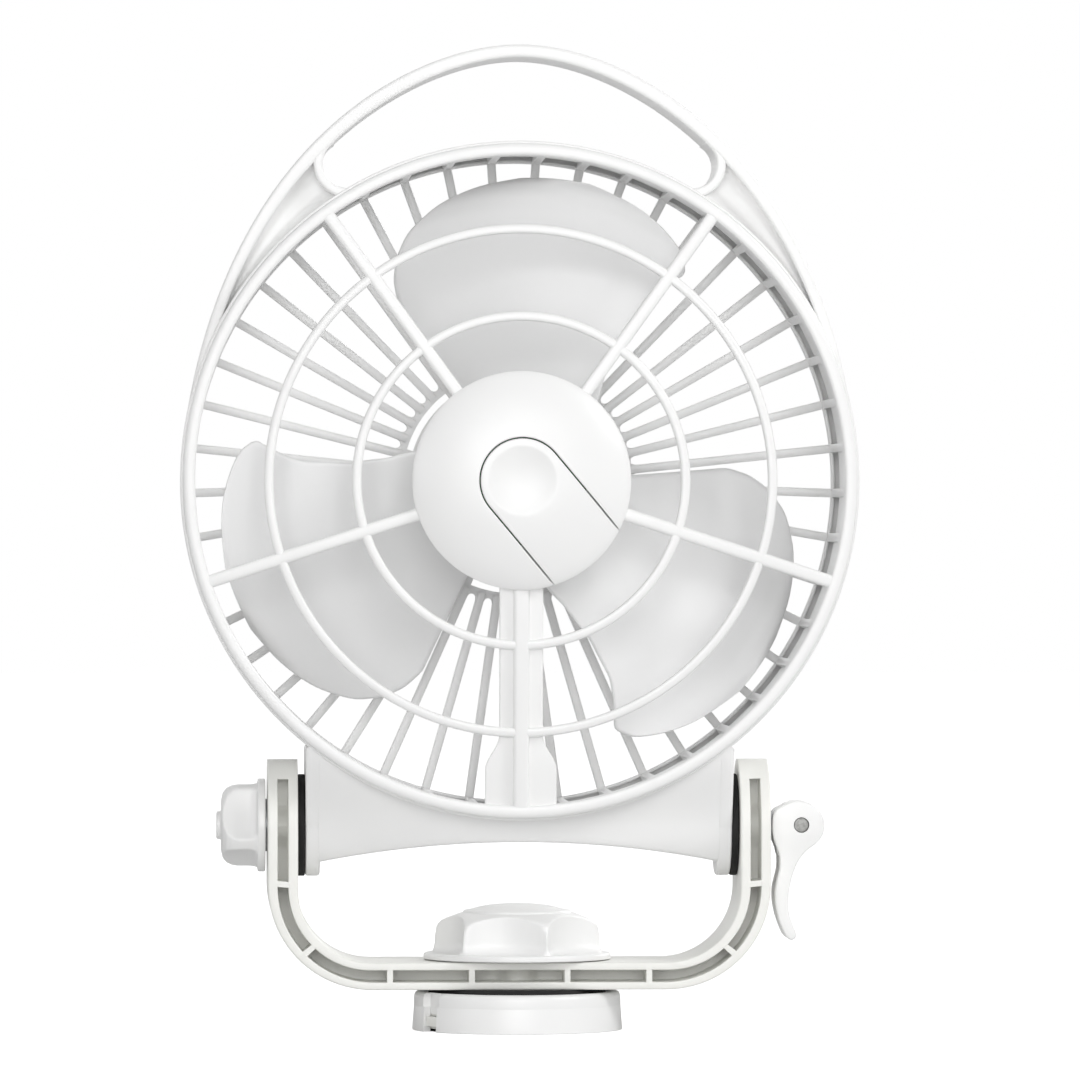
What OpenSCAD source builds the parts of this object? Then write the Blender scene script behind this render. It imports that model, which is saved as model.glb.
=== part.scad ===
// Portable 12 V cabin fan: a round caged fan with a carry handle, tilting in a U-shaped yoke
// that swivels on a round quick-release base. Origin: centre of the base's underside.
// +Z is up, the air blows towards -Y, and the cam lever is on the +X side.

/* [Cage] */
// Clear radius inside the front ring
ring_r = 85.5; // [80:0.5:92]
// Width of the ring's flat lip
lip_w = 3.3; // [2.6:0.1:4.5]
// Thickness of the ring's lip, front to back
lip_t = 3.5; // [2.5:0.1:5]
// Depth from the ring's front face to the back of the rear grille
cage_d = 52; // [48:1:60]
// Distance of the ring's front face ahead of the tilt axis
ring_front = 25; // [22:1:28]
// Wall of the round housing
wall = 2.6; // [2:0.1:3.2]
// How far the front grille bulges forward at the hub
grille_rise = 5; // [3:0.5:8]
// Thickness of the front grille's bars, front to back
bar_t = 3; // [2:0.1:4]
// Width of a front spoke
spoke_w = 3.4; // [2.4:0.1:5]
// Number of front spokes
spoke_n = 5; // [3:1:8]
// Mid radius of the outer grille circle
circle_out_r = 66.2; // [60:0.5:72]
// Mid radius of the inner grille circle
circle_in_r = 43.2; // [38:0.5:50]
// Width of the grille circles' bars
circle_w = 2.5; // [1.8:0.1:3.5]
// Number of ribs in the rear grille
rib_n = 45; // [30:1:50]
// Width of a rear rib
rib_w = 2.3; // [1.8:0.1:2.8]
// Depth of a rear rib
rib_d = 3.4; // [2.4:0.2:4.5]
// Radius of the plate that carries the motor
plate_r = 32; // [30:0.5:36]

/* [Hub and button] */
// Radius of the hub cap
hub_r = 28.7; // [26:0.1:30]
// Height of the hub cap over its seat
hub_h = 7; // [6:0.5:10]
// Wall of the hub cap
hub_wall = 2; // [1.5:0.1:2.5]
// Radius of the button's round end, also half its width
button_r = 11.15; // [8:0.1:13]
// Direction that the button's hinge end points in, anticlockwise from the right
button_dir = -50; // [-80:1:-10]
// Radius of the finger dish in the button
dish_r = 9; // [6:0.1:9.5]

/* [Handle] */
// Height of the handle's top over the fan axis
handle_top = 115; // [108:0.5:125]
// Thickness of the handle strap
strap_t = 3.4; // [2.6:0.1:4.5]
// Depth of the handle, front to back
handle_d = 24; // [18:1:28]
// Angle from the top at which the strap runs into the round housing
handle_end = 75; // [70:1:80]
// Half angle of the hand opening, measured at the fan axis
opening_half = 31; // [26:0.5:34]
// Thickness of the web beside the hand opening
web_t = 3; // [2:0.5:5]

/* [Tilt mount] */
// Height of the tilt axis over the surface the fan stands on
tilt_z = 54.3; // [52:0.1:60]
// Gap between the tilt axis and the round housing above it
housing_gap = 1.7; // [1:0.1:4]
// Outer face of the housing's ears, from the centre
ear_x = 56.4; // [52:0.1:60]
// Thickness of the ears
ear_t = 3.9; // [3:0.1:4.5]
// Radius of the ears and pads round the tilt axis
ear_r = 13.5; // [12:0.1:14.5]
// Height of the saddle's lower edge at the middle, under the tilt axis
saddle_mid = 4.3; // [3:0.1:5]
// Height of the saddle's lower edge beside the ears, under the tilt axis
saddle_end = 9.5; // [8.5:0.1:11]
// Thickness of the rubber pads between ears and yoke
pad_t = 1.8; // [1.2:0.1:2.5]
// Radius of the tilt and swivel bolts
bolt_r = 3; // [2.5:0.1:3.2]

/* [Yoke] */
// Thickness of the yoke's arms
arm_t = 8; // [7.4:0.1:9.5]
// Depth of the yoke strap, front to back
yoke_d = 35; // [32:0.5:38]
// Height of the yoke's underside over the surface
yoke_z = 11.3; // [10.8:0.1:12.5]
// Thickness of the yoke's bottom bar
bar_h = 7.2; // [6.4:0.1:8]
// Outer corner radius of the yoke
corner_r = 29; // [24:0.5:32]
// Width of the moulded pockets
pocket_w = 2.8; // [2:0.1:3.4]
// Depth of the moulded pockets from each face
pocket_d = 13; // [8:0.5:15]
// Thickness of the ribs between pockets
pocket_rib = 1.6; // [1:0.1:2.5]

/* [Knobs and lever] */
// Radius of the swivel knob's flange
pan_flange_r = 24.9; // [24:0.1:27]
// Radius of the swivel knob's body
pan_knob_r = 22.8; // [21:0.1:23.4]
// Height of the swivel knob
pan_knob_h = 14.6; // [13.5:0.1:15.2]
// Number of finger flutes round each knob
flute_n = 6; // [5:1:8]
// Radius of the tilt knob's flange
tilt_flange_r = 12.35; // [12:0.05:13.5]
// Radius of the tilt knob's body
tilt_knob_r = 11.2; // [10.5:0.1:11.6]
// Length of the tilt knob
tilt_knob_l = 13; // [12:0.1:15]
// Distance of the cam lever's pin from the yoke's side
cam_reach = 8.8; // [8.6:0.1:9.6]
// Width of the cam lever
lever_w = 14; // [12:0.5:18]
// Radius of the cam lever's pin
cam_pin_r = 2; // [1.8:0.1:2.4]

/* [Base] */
// Radius of the base shell at its foot
base_r = 27.9; // [27.5:0.1:32]
// Height of the base shell
base_h = 8.7; // [8.5:0.1:9.4]
// Wall of the base shell
base_wall = 2.2; // [1.8:0.1:2.4]
// Radius of the circle that the mounting screws lie on
screw_circle_r = 17; // [15:0.5:18]
// Number of mounting screws
screw_n = 3; // [3:1:4]
// Radius of a mounting screw hole
screw_hole_r = 2.25; // [1.6:0.05:2.5]
// Width of the release tab
tab_w = 5.4; // [4:0.1:7]
// Angle of the release tab, anticlockwise from +X
tab_angle = 211; // [200:1:220]

/* [Motor and propeller] */
// Radius of the motor's can
can_r = 18; // [16:0.1:19]
// Length of the motor's can
can_l = 31; // [26:0.5:33]
// Radius of the motor shaft
shaft_r = 1.585; // [1.5:0.005:2]
// Gap between the blade tips and the front ring
tip_gap = 4.5; // [3.5:0.1:9]
// Radius of the propeller's hub
prop_hub_r = 23; // [22:0.1:25]
// Axial rise of a blade from its leading to its trailing edge
blade_rise = 17; // [12:0.5:20]
// Thickness of a blade
blade_t = 1.7; // [1.2:0.1:2.4]
// Number of blades
blade_n = 3; // [2:1:5]

/* [Fits] */
// Gap all round a part that is dropped into another
drop_fit = 0.2; // [0.1:0.05:0.4]
// Radial gap of a turning shaft or bolt
run_fit = 0.06; // [0.03:0.01:0.1]
// Gap between faces that move past each other
slide_gap = 0.35; // [0.3:0.05:0.5]

/* [Hidden] */
$fn = 96;

white = [0.93, 0.93, 0.92];
warm_white = [0.90, 0.90, 0.87];
blade_grey = [0.80, 0.80, 0.79];
black = [0.08, 0.08, 0.08];
steel = [0.66, 0.67, 0.69];
brass = [0.80, 0.66, 0.36];
copper = [0.72, 0.42, 0.24];
board_green = [0.13, 0.38, 0.22];

ring_out = ring_r + lip_w;
spigot_w = 1.2;                       // wall of the guard's ring behind its lip
spigot_l = 4;
shell_in = ring_r + spigot_w + drop_fit;
shell_out = shell_in + wall;
axis_rise = shell_out + housing_gap;  // height of the fan axis over the tilt axis
fan_z = tilt_z + axis_rise;
blade_r = ring_r - tip_gap;           // radius of the propeller at the blade tips
back = cage_d - ring_front;          // distance of the grille's back behind the tilt axis
lip_back = ring_front - lip_t;
rib_front = rib_d - back;             // front face of the rear ribs, along the fan axis
rib_pitch = 360 / rib_n;
seat_z = ring_front + grille_rise;    // the hub cap stands on this plane
plate_t = 2.6;
plate_z = plate_t - back;

bolt_hole_r = bolt_r + run_fit;
nut_af = 10;                          // across the flats of the captive nuts
nut_r = nut_af / 2 / cos(30);
nut_h = 4.6;
boss_r = 5;
yoke_in = ear_x + pad_t + 0.2;
yoke_out = yoke_in + arm_t;
bar_top = yoke_z + bar_h;
arm_wall = (arm_t - pocket_w) / 2;
bar_wall = (bar_h - pocket_w - 0.4) / 2;
washer_t = 1.2;

// Turns a child that is drawn with +Z forwards and +Y up onto the fan axis.
module on_fan_axis() { translate([0, 0, fan_z]) rotate([90, 0, 0]) children(); }

// Turns a child that is drawn along +Z onto the tilt axis, pointing to the side given (+1 or -1).
module on_tilt_axis(side) { translate([0, 0, tilt_z]) rotate([0, side * 90, 0]) children(); }

// A plain ring or tube.
module tube(r_out, r_in, h) {
  difference() {
    cylinder(r = r_out, h = h);
    translate([0, 0, -1]) cylinder(r = r_in, h = h + 2);
  }
}

// A hexagonal nut with a round hole.
module hex_nut(r_hole, h) {
  difference() {
    cylinder(r = nut_r, h = h, $fn = 6);
    translate([0, 0, -1]) cylinder(r = r_hole, h = h + 2);
  }
}

// A pan-head screw standing on z = 0 with its shank below.
module pan_screw(head_r, head_h, shank_r, shank_l) {
  cylinder(r = head_r, h = head_h);
  translate([0, 0, -shank_l]) cylinder(r = shank_r, h = shank_l + 0.01);
}

// ---- Base ------------------------------------------------------------------------------------

pad_h = 0.8;
disc_h = 4;
disc_r = base_r - base_wall - drop_fit - 0.1;
disc_top = pad_h + disc_h;
tab_h = disc_h - 1.4;
tab_z = pad_h + 0.7;
tab_travel = 1.8;                     // how far the tab is pressed in to let go
tab_nose_r = base_r - 0.9;
tab_l = 9;
head_clear_r = nut_r + 1.4;           // room for the swivel bolt's head and its socket
head_z = 1.4;
spring_r = 0.8;
spring_l = 10;
tab_bore_l = 6;                       // hole in the tab that the spring sits in
slot_end = tab_nose_r - tab_l + tab_bore_l - tab_travel - 0.2 - spring_l;

// Direction of the base's latch, with +X pointing outwards.
module at_tab() { rotate([0, 0, tab_angle]) children(); }

module screw_holes(h) {
  for (i = [0 : screw_n - 1]) rotate([0, 0, tab_angle + 180 + i * 360 / screw_n])
    translate([screw_circle_r, 0, -1]) cylinder(r = screw_hole_r, h = h + 2);
}

// The space in the mounting disc that the latch slides in.
module latch_slot(grow) {
  at_tab() translate([slot_end - grow, -tab_w / 2 - grow, tab_z - grow])
    cube([base_r, tab_w + 2 * grow, tab_h + 2 * grow]);
}

module foot_pad() {
  color(black) difference() {
    cylinder(r = disc_r - 0.6, h = pad_h);
    translate([0, 0, -1]) cylinder(r = head_clear_r, h = pad_h + 2);
    screw_holes(pad_h);
  }
}

module mounting_disc() {
  color(warm_white) difference() {
    translate([0, 0, pad_h]) cylinder(r = disc_r, h = disc_h);
    translate([0, 0, pad_h - 1]) cylinder(r = head_clear_r, h = disc_h + 2);
    screw_holes(disc_top);
    latch_slot(drop_fit);
  }
}

module release_tab() {
  color(warm_white) at_tab() difference() {
    translate([tab_nose_r - tab_l, -tab_w / 2, tab_z]) cube([tab_l, tab_w, tab_h]);
    translate([tab_nose_r - tab_l - 1, 0, tab_z + tab_h / 2]) rotate([0, 90, 0])
      cylinder(r = spring_r + 0.15, h = tab_bore_l + 1);
  }
}

module latch_spring() {
  color(steel) at_tab() translate([slot_end, 0, tab_z + tab_h / 2]) rotate([0, 90, 0])
    tube(spring_r, 0.4, spring_l);
}

module base_shell() {
  notch_w = tab_w + 0.8;
  socket_r = head_clear_r - drop_fit;
  color(white) {
    // socket that keeps the swivel bolt's head from turning
    translate([0, 0, head_z]) difference() {
      cylinder(r = socket_r, h = base_h - base_wall - head_z + 0.1);
      translate([0, 0, -1]) cylinder(r = nut_r + 0.05, h = base_h, $fn = 6);
    }
    difference() {
      rotate_extrude() difference() {
        polygon([[0, 0], [base_r, 0], [base_r, 1], [base_r - 0.5, base_h - 1], [base_r - 1.2, base_h],
                 [0, base_h]]);
        translate([-1, -1]) square([base_r - base_wall + 1, base_h - base_wall + 1]);
      }
      translate([0, 0, -1]) cylinder(r = bolt_hole_r, h = base_h + 2);
      at_tab() translate([disc_r, -notch_w / 2, -1]) cube([base_wall * 3, notch_w, base_h - base_wall + 1]);
    }
  }
}

// Black rubber disc between base and yoke, with a rounded shoulder.
module grip_pad() {
  pad_top_r = base_r - 6;
  h = yoke_z - base_h;
  color(black) translate([0, 0, base_h]) difference() {
    rotate_extrude() polygon([[0, 0], [base_r - 1.3, 0], [base_r - 1.7, h * 0.35], [base_r - 3.2, h * 0.72],
                              [pad_top_r, h], [0, h]]);
    translate([0, 0, -1]) cylinder(r = bolt_hole_r, h = h + 2);
  }
}

module swivel_bolt() {
  color(steel) {
    translate([0, 0, head_z]) cylinder(r = nut_r, h = base_h - base_wall - head_z, $fn = 6);
    translate([0, 0, head_z]) cylinder(r = bolt_r, h = bar_top + pan_knob_h - 4 - head_z);
  }
}

// ---- Yoke ------------------------------------------------------------------------------------

// U-shaped solid outline seen from the front: half width, underside, corner radius and top.
module u_shape(half, under, r, top) {
  translate([-half, under + r]) square([2 * half, top - under - r]);
  translate([-half + r, under]) square([2 * (half - r), 2 * r]);
  for (s = [-1, 1]) translate([s * (half - r), under + r]) circle(r = r);
}

module pocket_channel() {
  out_r = corner_r - arm_wall;
  in_r = out_r - pocket_w;
  difference() {
    u_shape(yoke_out - arm_wall, yoke_z + bar_wall, out_r, tilt_z + ear_r - 1);
    u_shape(yoke_out - arm_wall - pocket_w, bar_top - bar_wall, in_r, tilt_z + ear_r);
    for (s = [-1, 1]) {
      rib_z = yoke_z + corner_r + 0.8;
      translate([s * (yoke_out - arm_t / 2), rib_z]) square([arm_t, pocket_rib], center = true);
      translate([s * (yoke_out - corner_r), yoke_z + corner_r]) rotate(-90 + s * 45)
        translate([0, -pocket_rib / 2]) square([corner_r, pocket_rib]);
      for (x = [12.6, 34.2]) translate([s * x, yoke_z + bar_h / 2])
        square([pocket_rib, bar_h], center = true);
    }
  }
}

module yoke() {
  arm_end_r = yoke_d / 2;
  color(warm_white) difference() {
    translate([0, yoke_d / 2, 0]) rotate([90, 0, 0]) linear_extrude(yoke_d) difference() {
      u_shape(yoke_out, yoke_z, corner_r, tilt_z + arm_end_r);
      u_shape(yoke_in, bar_top, corner_r - arm_t, tilt_z + arm_end_r + 1);
    }
    // arms end in half circles round the tilt axis
    translate([-yoke_out - 1, 0, tilt_z]) rotate([0, 90, 0]) difference() {
      translate([-arm_end_r - 1, -yoke_d, 0]) cube([arm_end_r + 1, 2 * yoke_d, 2 * yoke_out + 2]);
      translate([0, 0, -1]) cylinder(r = arm_end_r, h = 2 * yoke_out + 4);
    }
    // moulded pockets from the front and from the back, clear of the bolt bosses
    difference() {
      for (y = [yoke_d / 2 + 1, pocket_d - yoke_d / 2])
        translate([0, y, 0]) rotate([90, 0, 0]) linear_extrude(pocket_d + 1) pocket_channel();
      on_tilt_axis(1) translate([0, 0, -yoke_out - 2]) cylinder(r = boss_r, h = 2 * yoke_out + 4);
      cylinder(r = boss_r, h = bar_top + 1);
    }
    on_tilt_axis(1) translate([0, 0, -yoke_out - 2]) cylinder(r = bolt_hole_r, h = 2 * yoke_out + 4);
    cylinder(r = bolt_hole_r, h = bar_top + 1);
  }
}

// ---- Swivel knob -----------------------------------------------------------------------------

knob_gap = 0.3;                       // the knob rides on its washer, just clear of the yoke
pan_knob_z = bar_top + knob_gap;
pan_top = pan_knob_z + pan_knob_h;

pan_washer_r = 8.5;

module swivel_washer() {
  color(steel) translate([0, 0, bar_top + 0.02]) tube(pan_washer_r, bolt_hole_r, washer_t);
}

// Concave finger flutes cut round a knob: body radius, how deep the hollow goes, height range.
module flutes(r, depth, z0, h, turn) {
  half = r * sin(180 / flute_n);
  chord = r * cos(180 / flute_n);
  flute_r = (half * half + depth * depth) / (2 * depth);
  for (i = [0 : flute_n - 1]) rotate([0, 0, turn + i * 360 / flute_n])
    translate([chord - depth + flute_r, 0, z0]) cylinder(r = flute_r, h = h);
}

module swivel_knob() {
  lip = 1.7;
  shoulder = 9;
  crown_r = 13.2;
  color(white) translate([0, 0, pan_knob_z]) difference() {
    rotate_extrude() polygon([[0, 0], [pan_flange_r - 0.4, 0], [pan_flange_r, 0.5],
      [pan_flange_r, lip - 0.6], [pan_flange_r - 0.7, lip], [pan_knob_r, lip],
      [pan_knob_r - 1, shoulder - 1], [pan_knob_r - 2.2, shoulder + 0.4],
      [crown_r, pan_knob_h - 1.8], [crown_r - 4, pan_knob_h - 0.6], [crown_r - 8, pan_knob_h - 0.1],
      [0, pan_knob_h]]);
    flutes(pan_knob_r - 0.1, 2.2, lip, pan_knob_h, -101.5);
    translate([0, 0, -1]) cylinder(r = pan_washer_r + drop_fit, h = 1 + washer_t - knob_gap + 0.05);
    translate([0, 0, -1]) cylinder(r = nut_r + drop_fit, h = 1 + washer_t + 0.6 + nut_h, $fn = 6);
    translate([0, 0, -1]) cylinder(r = bolt_hole_r + 0.3, h = pan_knob_h - 2);
  }
}

module swivel_knob_nut() {
  color(brass) translate([0, 0, pan_knob_z + washer_t + 0.4]) hex_nut(bolt_hole_r, nut_h);
}

// ---- Tilt knob, on the left ------------------------------------------------------------------

tilt_knob_gap = 0.5;
tilt_knob_x = yoke_out + tilt_knob_gap;
tilt_washer_r = 7;

module tilt_washer() {
  color(steel) on_tilt_axis(-1) translate([0, 0, yoke_out + 0.02]) tube(tilt_washer_r, bolt_hole_r, washer_t);
}

module tilt_knob() {
  lip = 2.1;
  boss_h = 1.2;
  boss_end_r = 3.7;
  body = tilt_knob_l - boss_h;
  color(white) on_tilt_axis(-1) translate([0, 0, tilt_knob_x]) difference() {
    rotate_extrude() polygon([[0, 0], [tilt_flange_r - 0.4, 0], [tilt_flange_r, 0.4],
      [tilt_flange_r, lip - 0.4], [tilt_flange_r - 0.4, lip], [tilt_knob_r, lip], [tilt_knob_r, body - 4.6],
      [tilt_knob_r - 0.5, body - 3], [tilt_knob_r - 1.6, body - 1.5], [tilt_knob_r - 3.2, body - 0.5],
      [tilt_knob_r - 5, body], [boss_end_r, body], [boss_end_r, tilt_knob_l], [0, tilt_knob_l]]);
    flutes(tilt_knob_r - 0.1, 1.2, lip, tilt_knob_l, 12);
    translate([0, 0, -1]) cylinder(r = tilt_washer_r + drop_fit, h = 1 + washer_t - tilt_knob_gap + 0.05);
    translate([0, 0, -1]) cylinder(r = bolt_r + 0.02, h = 9);
  }
}

// Stud that is moulded into the tilt knob and screws into the left ear's nut.
module tilt_bolt() {
  inner = ear_x - ear_t - nut_h - 1.5;
  color(steel) on_tilt_axis(-1) translate([0, 0, inner])
    cylinder(r = bolt_r, h = tilt_knob_x + 7.5 - inner);
}

// ---- Rubber pads and nuts at the ears -----------------------------------------------------------

module tilt_pads() {
  color(black) for (s = [-1, 1]) on_tilt_axis(s) translate([0, 0, ear_x + 0.05])
    tube(ear_r, bolt_hole_r + 0.1, pad_t);
}

module ear_nuts() {
  color(steel) for (s = [-1, 1]) on_tilt_axis(s) translate([0, 0, ear_x - ear_t - nut_h])
    hex_nut(bolt_hole_r, nut_h);
}

// ---- Cam lever, on the right -----------------------------------------------------------------

cam_washer_t = 0.45;
pin_x = yoke_out + cam_reach;
eye_t = 4.6;
eye_r = 4.2;
lever_swing = 120;                    // how far the lever swings open
cam_flat = cam_reach - 1.05;          // distance from pin to the lever's flat back

module cam_washer() {
  color(black) on_tilt_axis(1) translate([0, 0, yoke_out + 0.02]) tube(6.3, bolt_hole_r, cam_washer_t);
}

module cam_rod() {
  inner = ear_x - ear_t - nut_h - 1.5;
  flat_l = cam_reach - 0.3;           // the rod is flattened over this length from the pin
  flat_z = eye_r + 1;
  color(steel) difference() {
    union() {
      on_tilt_axis(1) translate([0, 0, inner]) cylinder(r = bolt_r, h = pin_x - inner - 2.6);
      translate([pin_x, eye_t / 2, tilt_z]) rotate([90, 0, 0]) cylinder(r = eye_r, h = eye_t);
    }
    translate([pin_x, eye_t, tilt_z]) rotate([90, 0, 0]) cylinder(r = cam_pin_r + run_fit, h = 2 * eye_t);
    for (y = [eye_t / 2, -eye_t / 2 - eye_t]) translate([pin_x - flat_l, y, tilt_z - flat_z])
      cube([2 * flat_l, eye_t, 2 * flat_z]);
  }
}

module cam_pin() {
  color(steel) translate([pin_x, lever_w / 2 - 0.3, tilt_z]) rotate([90, 0, 0])
    cylinder(r = cam_pin_r, h = lever_w - 0.6);
}

// Side outline of the lever, from the pin: the cam head and the curved finger tail.
module lever_outline() {
  intersection() {
    union() {
      translate([-cam_flat, -3.6]) square([9, 8.2]);
      circle(r = 6.2);
      translate([-0.9, 0.1]) circle(r = 6.3);
      polygon([[-cam_flat, -3.2], [-6.1, -6.8], [-5.5, -11.5], [-6.1, -15], [-6.6, -17.5], [-6.7, -21],
        [-5.9, -25], [-4.6, -28.8], [-3.6, -30.2], [-2.6, -30.6], [-1.6, -30], [-1.4, -28.6], [-2.6, -25.6],
        [-3.4, -22.5], [-3.3, -18], [-2.5, -14], [-1, -10], [1.2, -7], [4.6, -4.4]]);
    }
    union() {
      circle(r = cam_reach - cam_washer_t - 0.3);
      translate([-cam_flat, -40]) square([20, 34]);
    }
  }
}

module cam_lever() {
  slot_w = eye_t + 0.6;
  color(white) translate([pin_x, 0, tilt_z]) difference() {
    translate([0, lever_w / 2, 0]) rotate([90, 0, 0]) linear_extrude(lever_w) lever_outline();
    translate([0, lever_w, 0]) rotate([90, 0, 0]) cylinder(r = cam_pin_r + run_fit, h = 2 * lever_w);
    // fork slot for the rod and its eye, over the lever's whole swing
    translate([0, slot_w / 2, 0]) rotate([90, 0, 0]) linear_extrude(slot_w) {
      circle(r = eye_r + 0.5);
      for (a = [180 - lever_swing : lever_swing / 4 : 180]) rotate(a)
        translate([0, -bolt_r - 0.4]) square([14, 2 * bolt_r + 0.8]);
    }
  }
}

// ---- Housing with handle and saddle -------------------------------------------------------------

function bezier(p, t) =
  pow(1 - t, 3) * p[0] + 3 * pow(1 - t, 2) * t * p[1] + 3 * (1 - t) * t * t * p[2] + pow(t, 3) * p[3];

// Half of a curve that arches over the top and runs tangentially into a circle of radius r.
function arch(top, r, flat, reach) =
  let (end = r * [sin(handle_end), cos(handle_end)],
       p = [[0, top], [flat, top], end + reach * [-cos(handle_end), sin(handle_end)], end])
  [for (i = [0 : 14]) bezier(p, i / 14)];

function mirrored(half) = concat([for (i = [len(half) - 1 : -1 : 1]) [-half[i][0], half[i][1]]], half);

arch_out = arch(handle_top, shell_out, 24, 72);
arch_in = arch(handle_top - strap_t, shell_out - strap_t + 0.6, 22, 68);

module arch_area(points) { polygon(concat([[-10, 0]], mirrored(points), [[10, 0]])); }

// Hand opening: under the strap, over the ring, between two radial ends with rounded corners.
module opening_area(grow) {
  end_r = 3.5;
  end_top_r = ring_out + 8.4;
  difference() {
    intersection() {
      arch_area(arch_in);
      union() {
        polygon([[0, 0], 140 * [-sin(opening_half - 2), cos(opening_half - 2)], 140 * [0, 1.2],
                 140 * [sin(opening_half - 2), cos(opening_half - 2)]]);
        for (s = [-1, 1], r = [ring_out + end_r, end_top_r])
          rotate(-s * (opening_half - 0.2)) translate([-s * end_r, r]) circle(r = end_r + grow);
        for (s = [-1, 1]) rotate(-s * (opening_half - 0.2))
          translate([s < 0 ? -grow : -end_r * 2, ring_out + end_r])
            square([end_r * 2 + grow, end_top_r - ring_out - end_r]);
      }
    }
    circle(r = ring_out - grow);
  }
}

handle_front = ring_front - 6;        // front edge of the handle strap, along the fan axis
handle_back = handle_front - handle_d;
web_front = handle_front - 9;

module handle() {
  translate([0, 0, handle_back]) linear_extrude(handle_d) difference() {
    arch_area(arch_out);
    arch_area(arch_in);
    circle(r = shell_out - 0.5);
  }
  // web between strap and ring, and the rim of the hand opening
  translate([0, 0, web_front - web_t]) linear_extrude(web_t) difference() {
    arch_area(arch_out);
    circle(r = shell_out - 0.5);
    opening_area(0);
  }
  translate([0, 0, handle_back]) linear_extrude(handle_d) difference() {
    intersection() {
      opening_area(2.4);
      arch_area(arch_out);
    }
    opening_area(0);
    circle(r = shell_out - 0.5);
  }
}

sag_r = (pow(ear_x - ear_t, 2) + pow(saddle_end - saddle_mid, 2)) / (2 * (saddle_end - saddle_mid));

// Front outline of the saddle, in x and z from the tilt axis: half width and inset from outside.
module saddle_area(half, inset) {
  difference() {
    translate([-half, -saddle_end - 5]) square([2 * half, saddle_end + 50]);
    translate([0, -saddle_mid - sag_r + inset]) circle(r = sag_r, $fn = 360);
    translate([0, axis_rise]) circle(r = shell_out - 0.6 + inset * 1.4, $fn = 180);
  }
}

// Side profile of saddle and ears, in y and z from the tilt axis: round below, spreading above.
module saddle_profile(inset) {
  circle(r = ear_r - inset);
  polygon([[-ear_r + inset, 0], [ear_r - inset, 0], [ear_r - inset, 40], [-lip_back + inset, 40],
           [-lip_back + inset, 22], [-lip_back + 5 + inset, 9]]);
}

module saddle() {
  translate([0, 0, tilt_z]) difference() {
    intersection() {
      union() {
        translate([0, 40, 0]) rotate([90, 0, 0]) linear_extrude(80) saddle_area(ear_x - ear_t + 0.5, 0);
        for (s = [-1, 1]) translate([s * (ear_x - ear_t / 2), 0, 0])
          rotate([90, 0, 0]) translate([0, 0, -40]) linear_extrude(80) difference() {
            translate([-ear_t / 2, -ear_r]) square([ear_t, 2 * ear_r + 20]);
            translate([-s * (ear_x - ear_t / 2), axis_rise]) circle(r = shell_out - 0.6, $fn = 180);
          }
      }
      translate([-ear_x, 0, 0]) rotate([90, 0, 90]) linear_extrude(2 * ear_x) saddle_profile(0);
    }
    // two hollows, open at the back
    intersection() {
      translate([0, 40, 0]) rotate([90, 0, 0]) linear_extrude(80) hollow_area(0);
      translate([-ear_x, 0, 0]) rotate([90, 0, 90]) linear_extrude(2 * ear_x) union() {
        translate([0, -40]) square([ear_r + 5, 80]);
        saddle_profile(2.4);
      }
    }
    for (s = [-1, 1]) rotate([0, s * 90, 0]) cylinder(r = bolt_hole_r + 0.1, h = ear_x + 2);
  }
  // sockets for the ear nuts and posts for the cover screws
  for (s = [-1, 1]) {
    on_tilt_axis(s) translate([0, 0, ear_x - ear_t - 3]) difference() {
      cylinder(r = nut_r + 1.1, h = 3.1);
      translate([0, 0, -1]) cylinder(r = nut_r + 0.1, h = 4, $fn = 6);
      cylinder(r = bolt_hole_r + 0.1, h = 5);
    }
    translate([s * cover_screw_x, ear_r - cover_t - 0.1, tilt_z + cover_screw_z]) rotate([90, 0, 0])
      difference() {
        cylinder(r = 3.2, h = 2 * ear_r - 2.4 - cover_t + 0.2);
        translate([0, 0, -1]) cylinder(r = screw_shank_r + 0.05, h = saddle_screw_l + 1);
      }
  }
}

// Front outline of the two hollows in the saddle, less a fit.
module hollow_area(fit) {
  difference() {
    saddle_area(ear_x - ear_t - fit, 2.4 + fit);
    translate([-saddle_core - fit, -40]) square([2 * (saddle_core + fit), 80]);
  }
}

module housing() {
  finger_front = lip_back - spigot_l - 0.1;
  color(white) union() {
    on_fan_axis() {
      translate([0, 0, -back]) tube(shell_out, shell_in, back + lip_back);
      handle();
      // short ribs along the inside of the wall, one behind each rib of the rear grille
      intersection() {
        translate([0, 0, rib_front + 0.1]) linear_extrude(finger_front - rib_front - 0.1)
          for (i = [0 : rib_n - 1]) rotate(-90 + i * rib_pitch) translate([ring_r + 0.1, -rib_w / 2])
            square([spigot_w + 1, rib_w]);
        translate([0, 0, -back]) tube(shell_in + 0.1, ring_r, cage_d);
      }
    }
    saddle();
  }
}

// ---- Saddle cover -------------------------------------------------------------------------------

cover_t = 2;
cover_screw_x = 38;
cover_screw_z = 1.3;
screw_shank_r = 1.5;
saddle_screw_l = 12;
saddle_core = 16;                    // half width of the solid middle between the hollows

module saddle_covers() {
  color(white) translate([0, 0, tilt_z]) difference() {
    translate([0, ear_r, 0]) rotate([90, 0, 0]) linear_extrude(cover_t) hollow_area(drop_fit);
    for (s = [-1, 1]) translate([s * cover_screw_x, ear_r + 1, cover_screw_z])
      rotate([90, 0, 0]) cylinder(r = screw_shank_r + 0.1, h = 20);
  }
}

module saddle_screws() {
  color(steel) for (s = [-1, 1]) translate([s * cover_screw_x, ear_r + 0.02, tilt_z + cover_screw_z])
    rotate([-90, 0, 0]) pan_screw(2.8, 1.6, screw_shank_r, saddle_screw_l);
}

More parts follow.
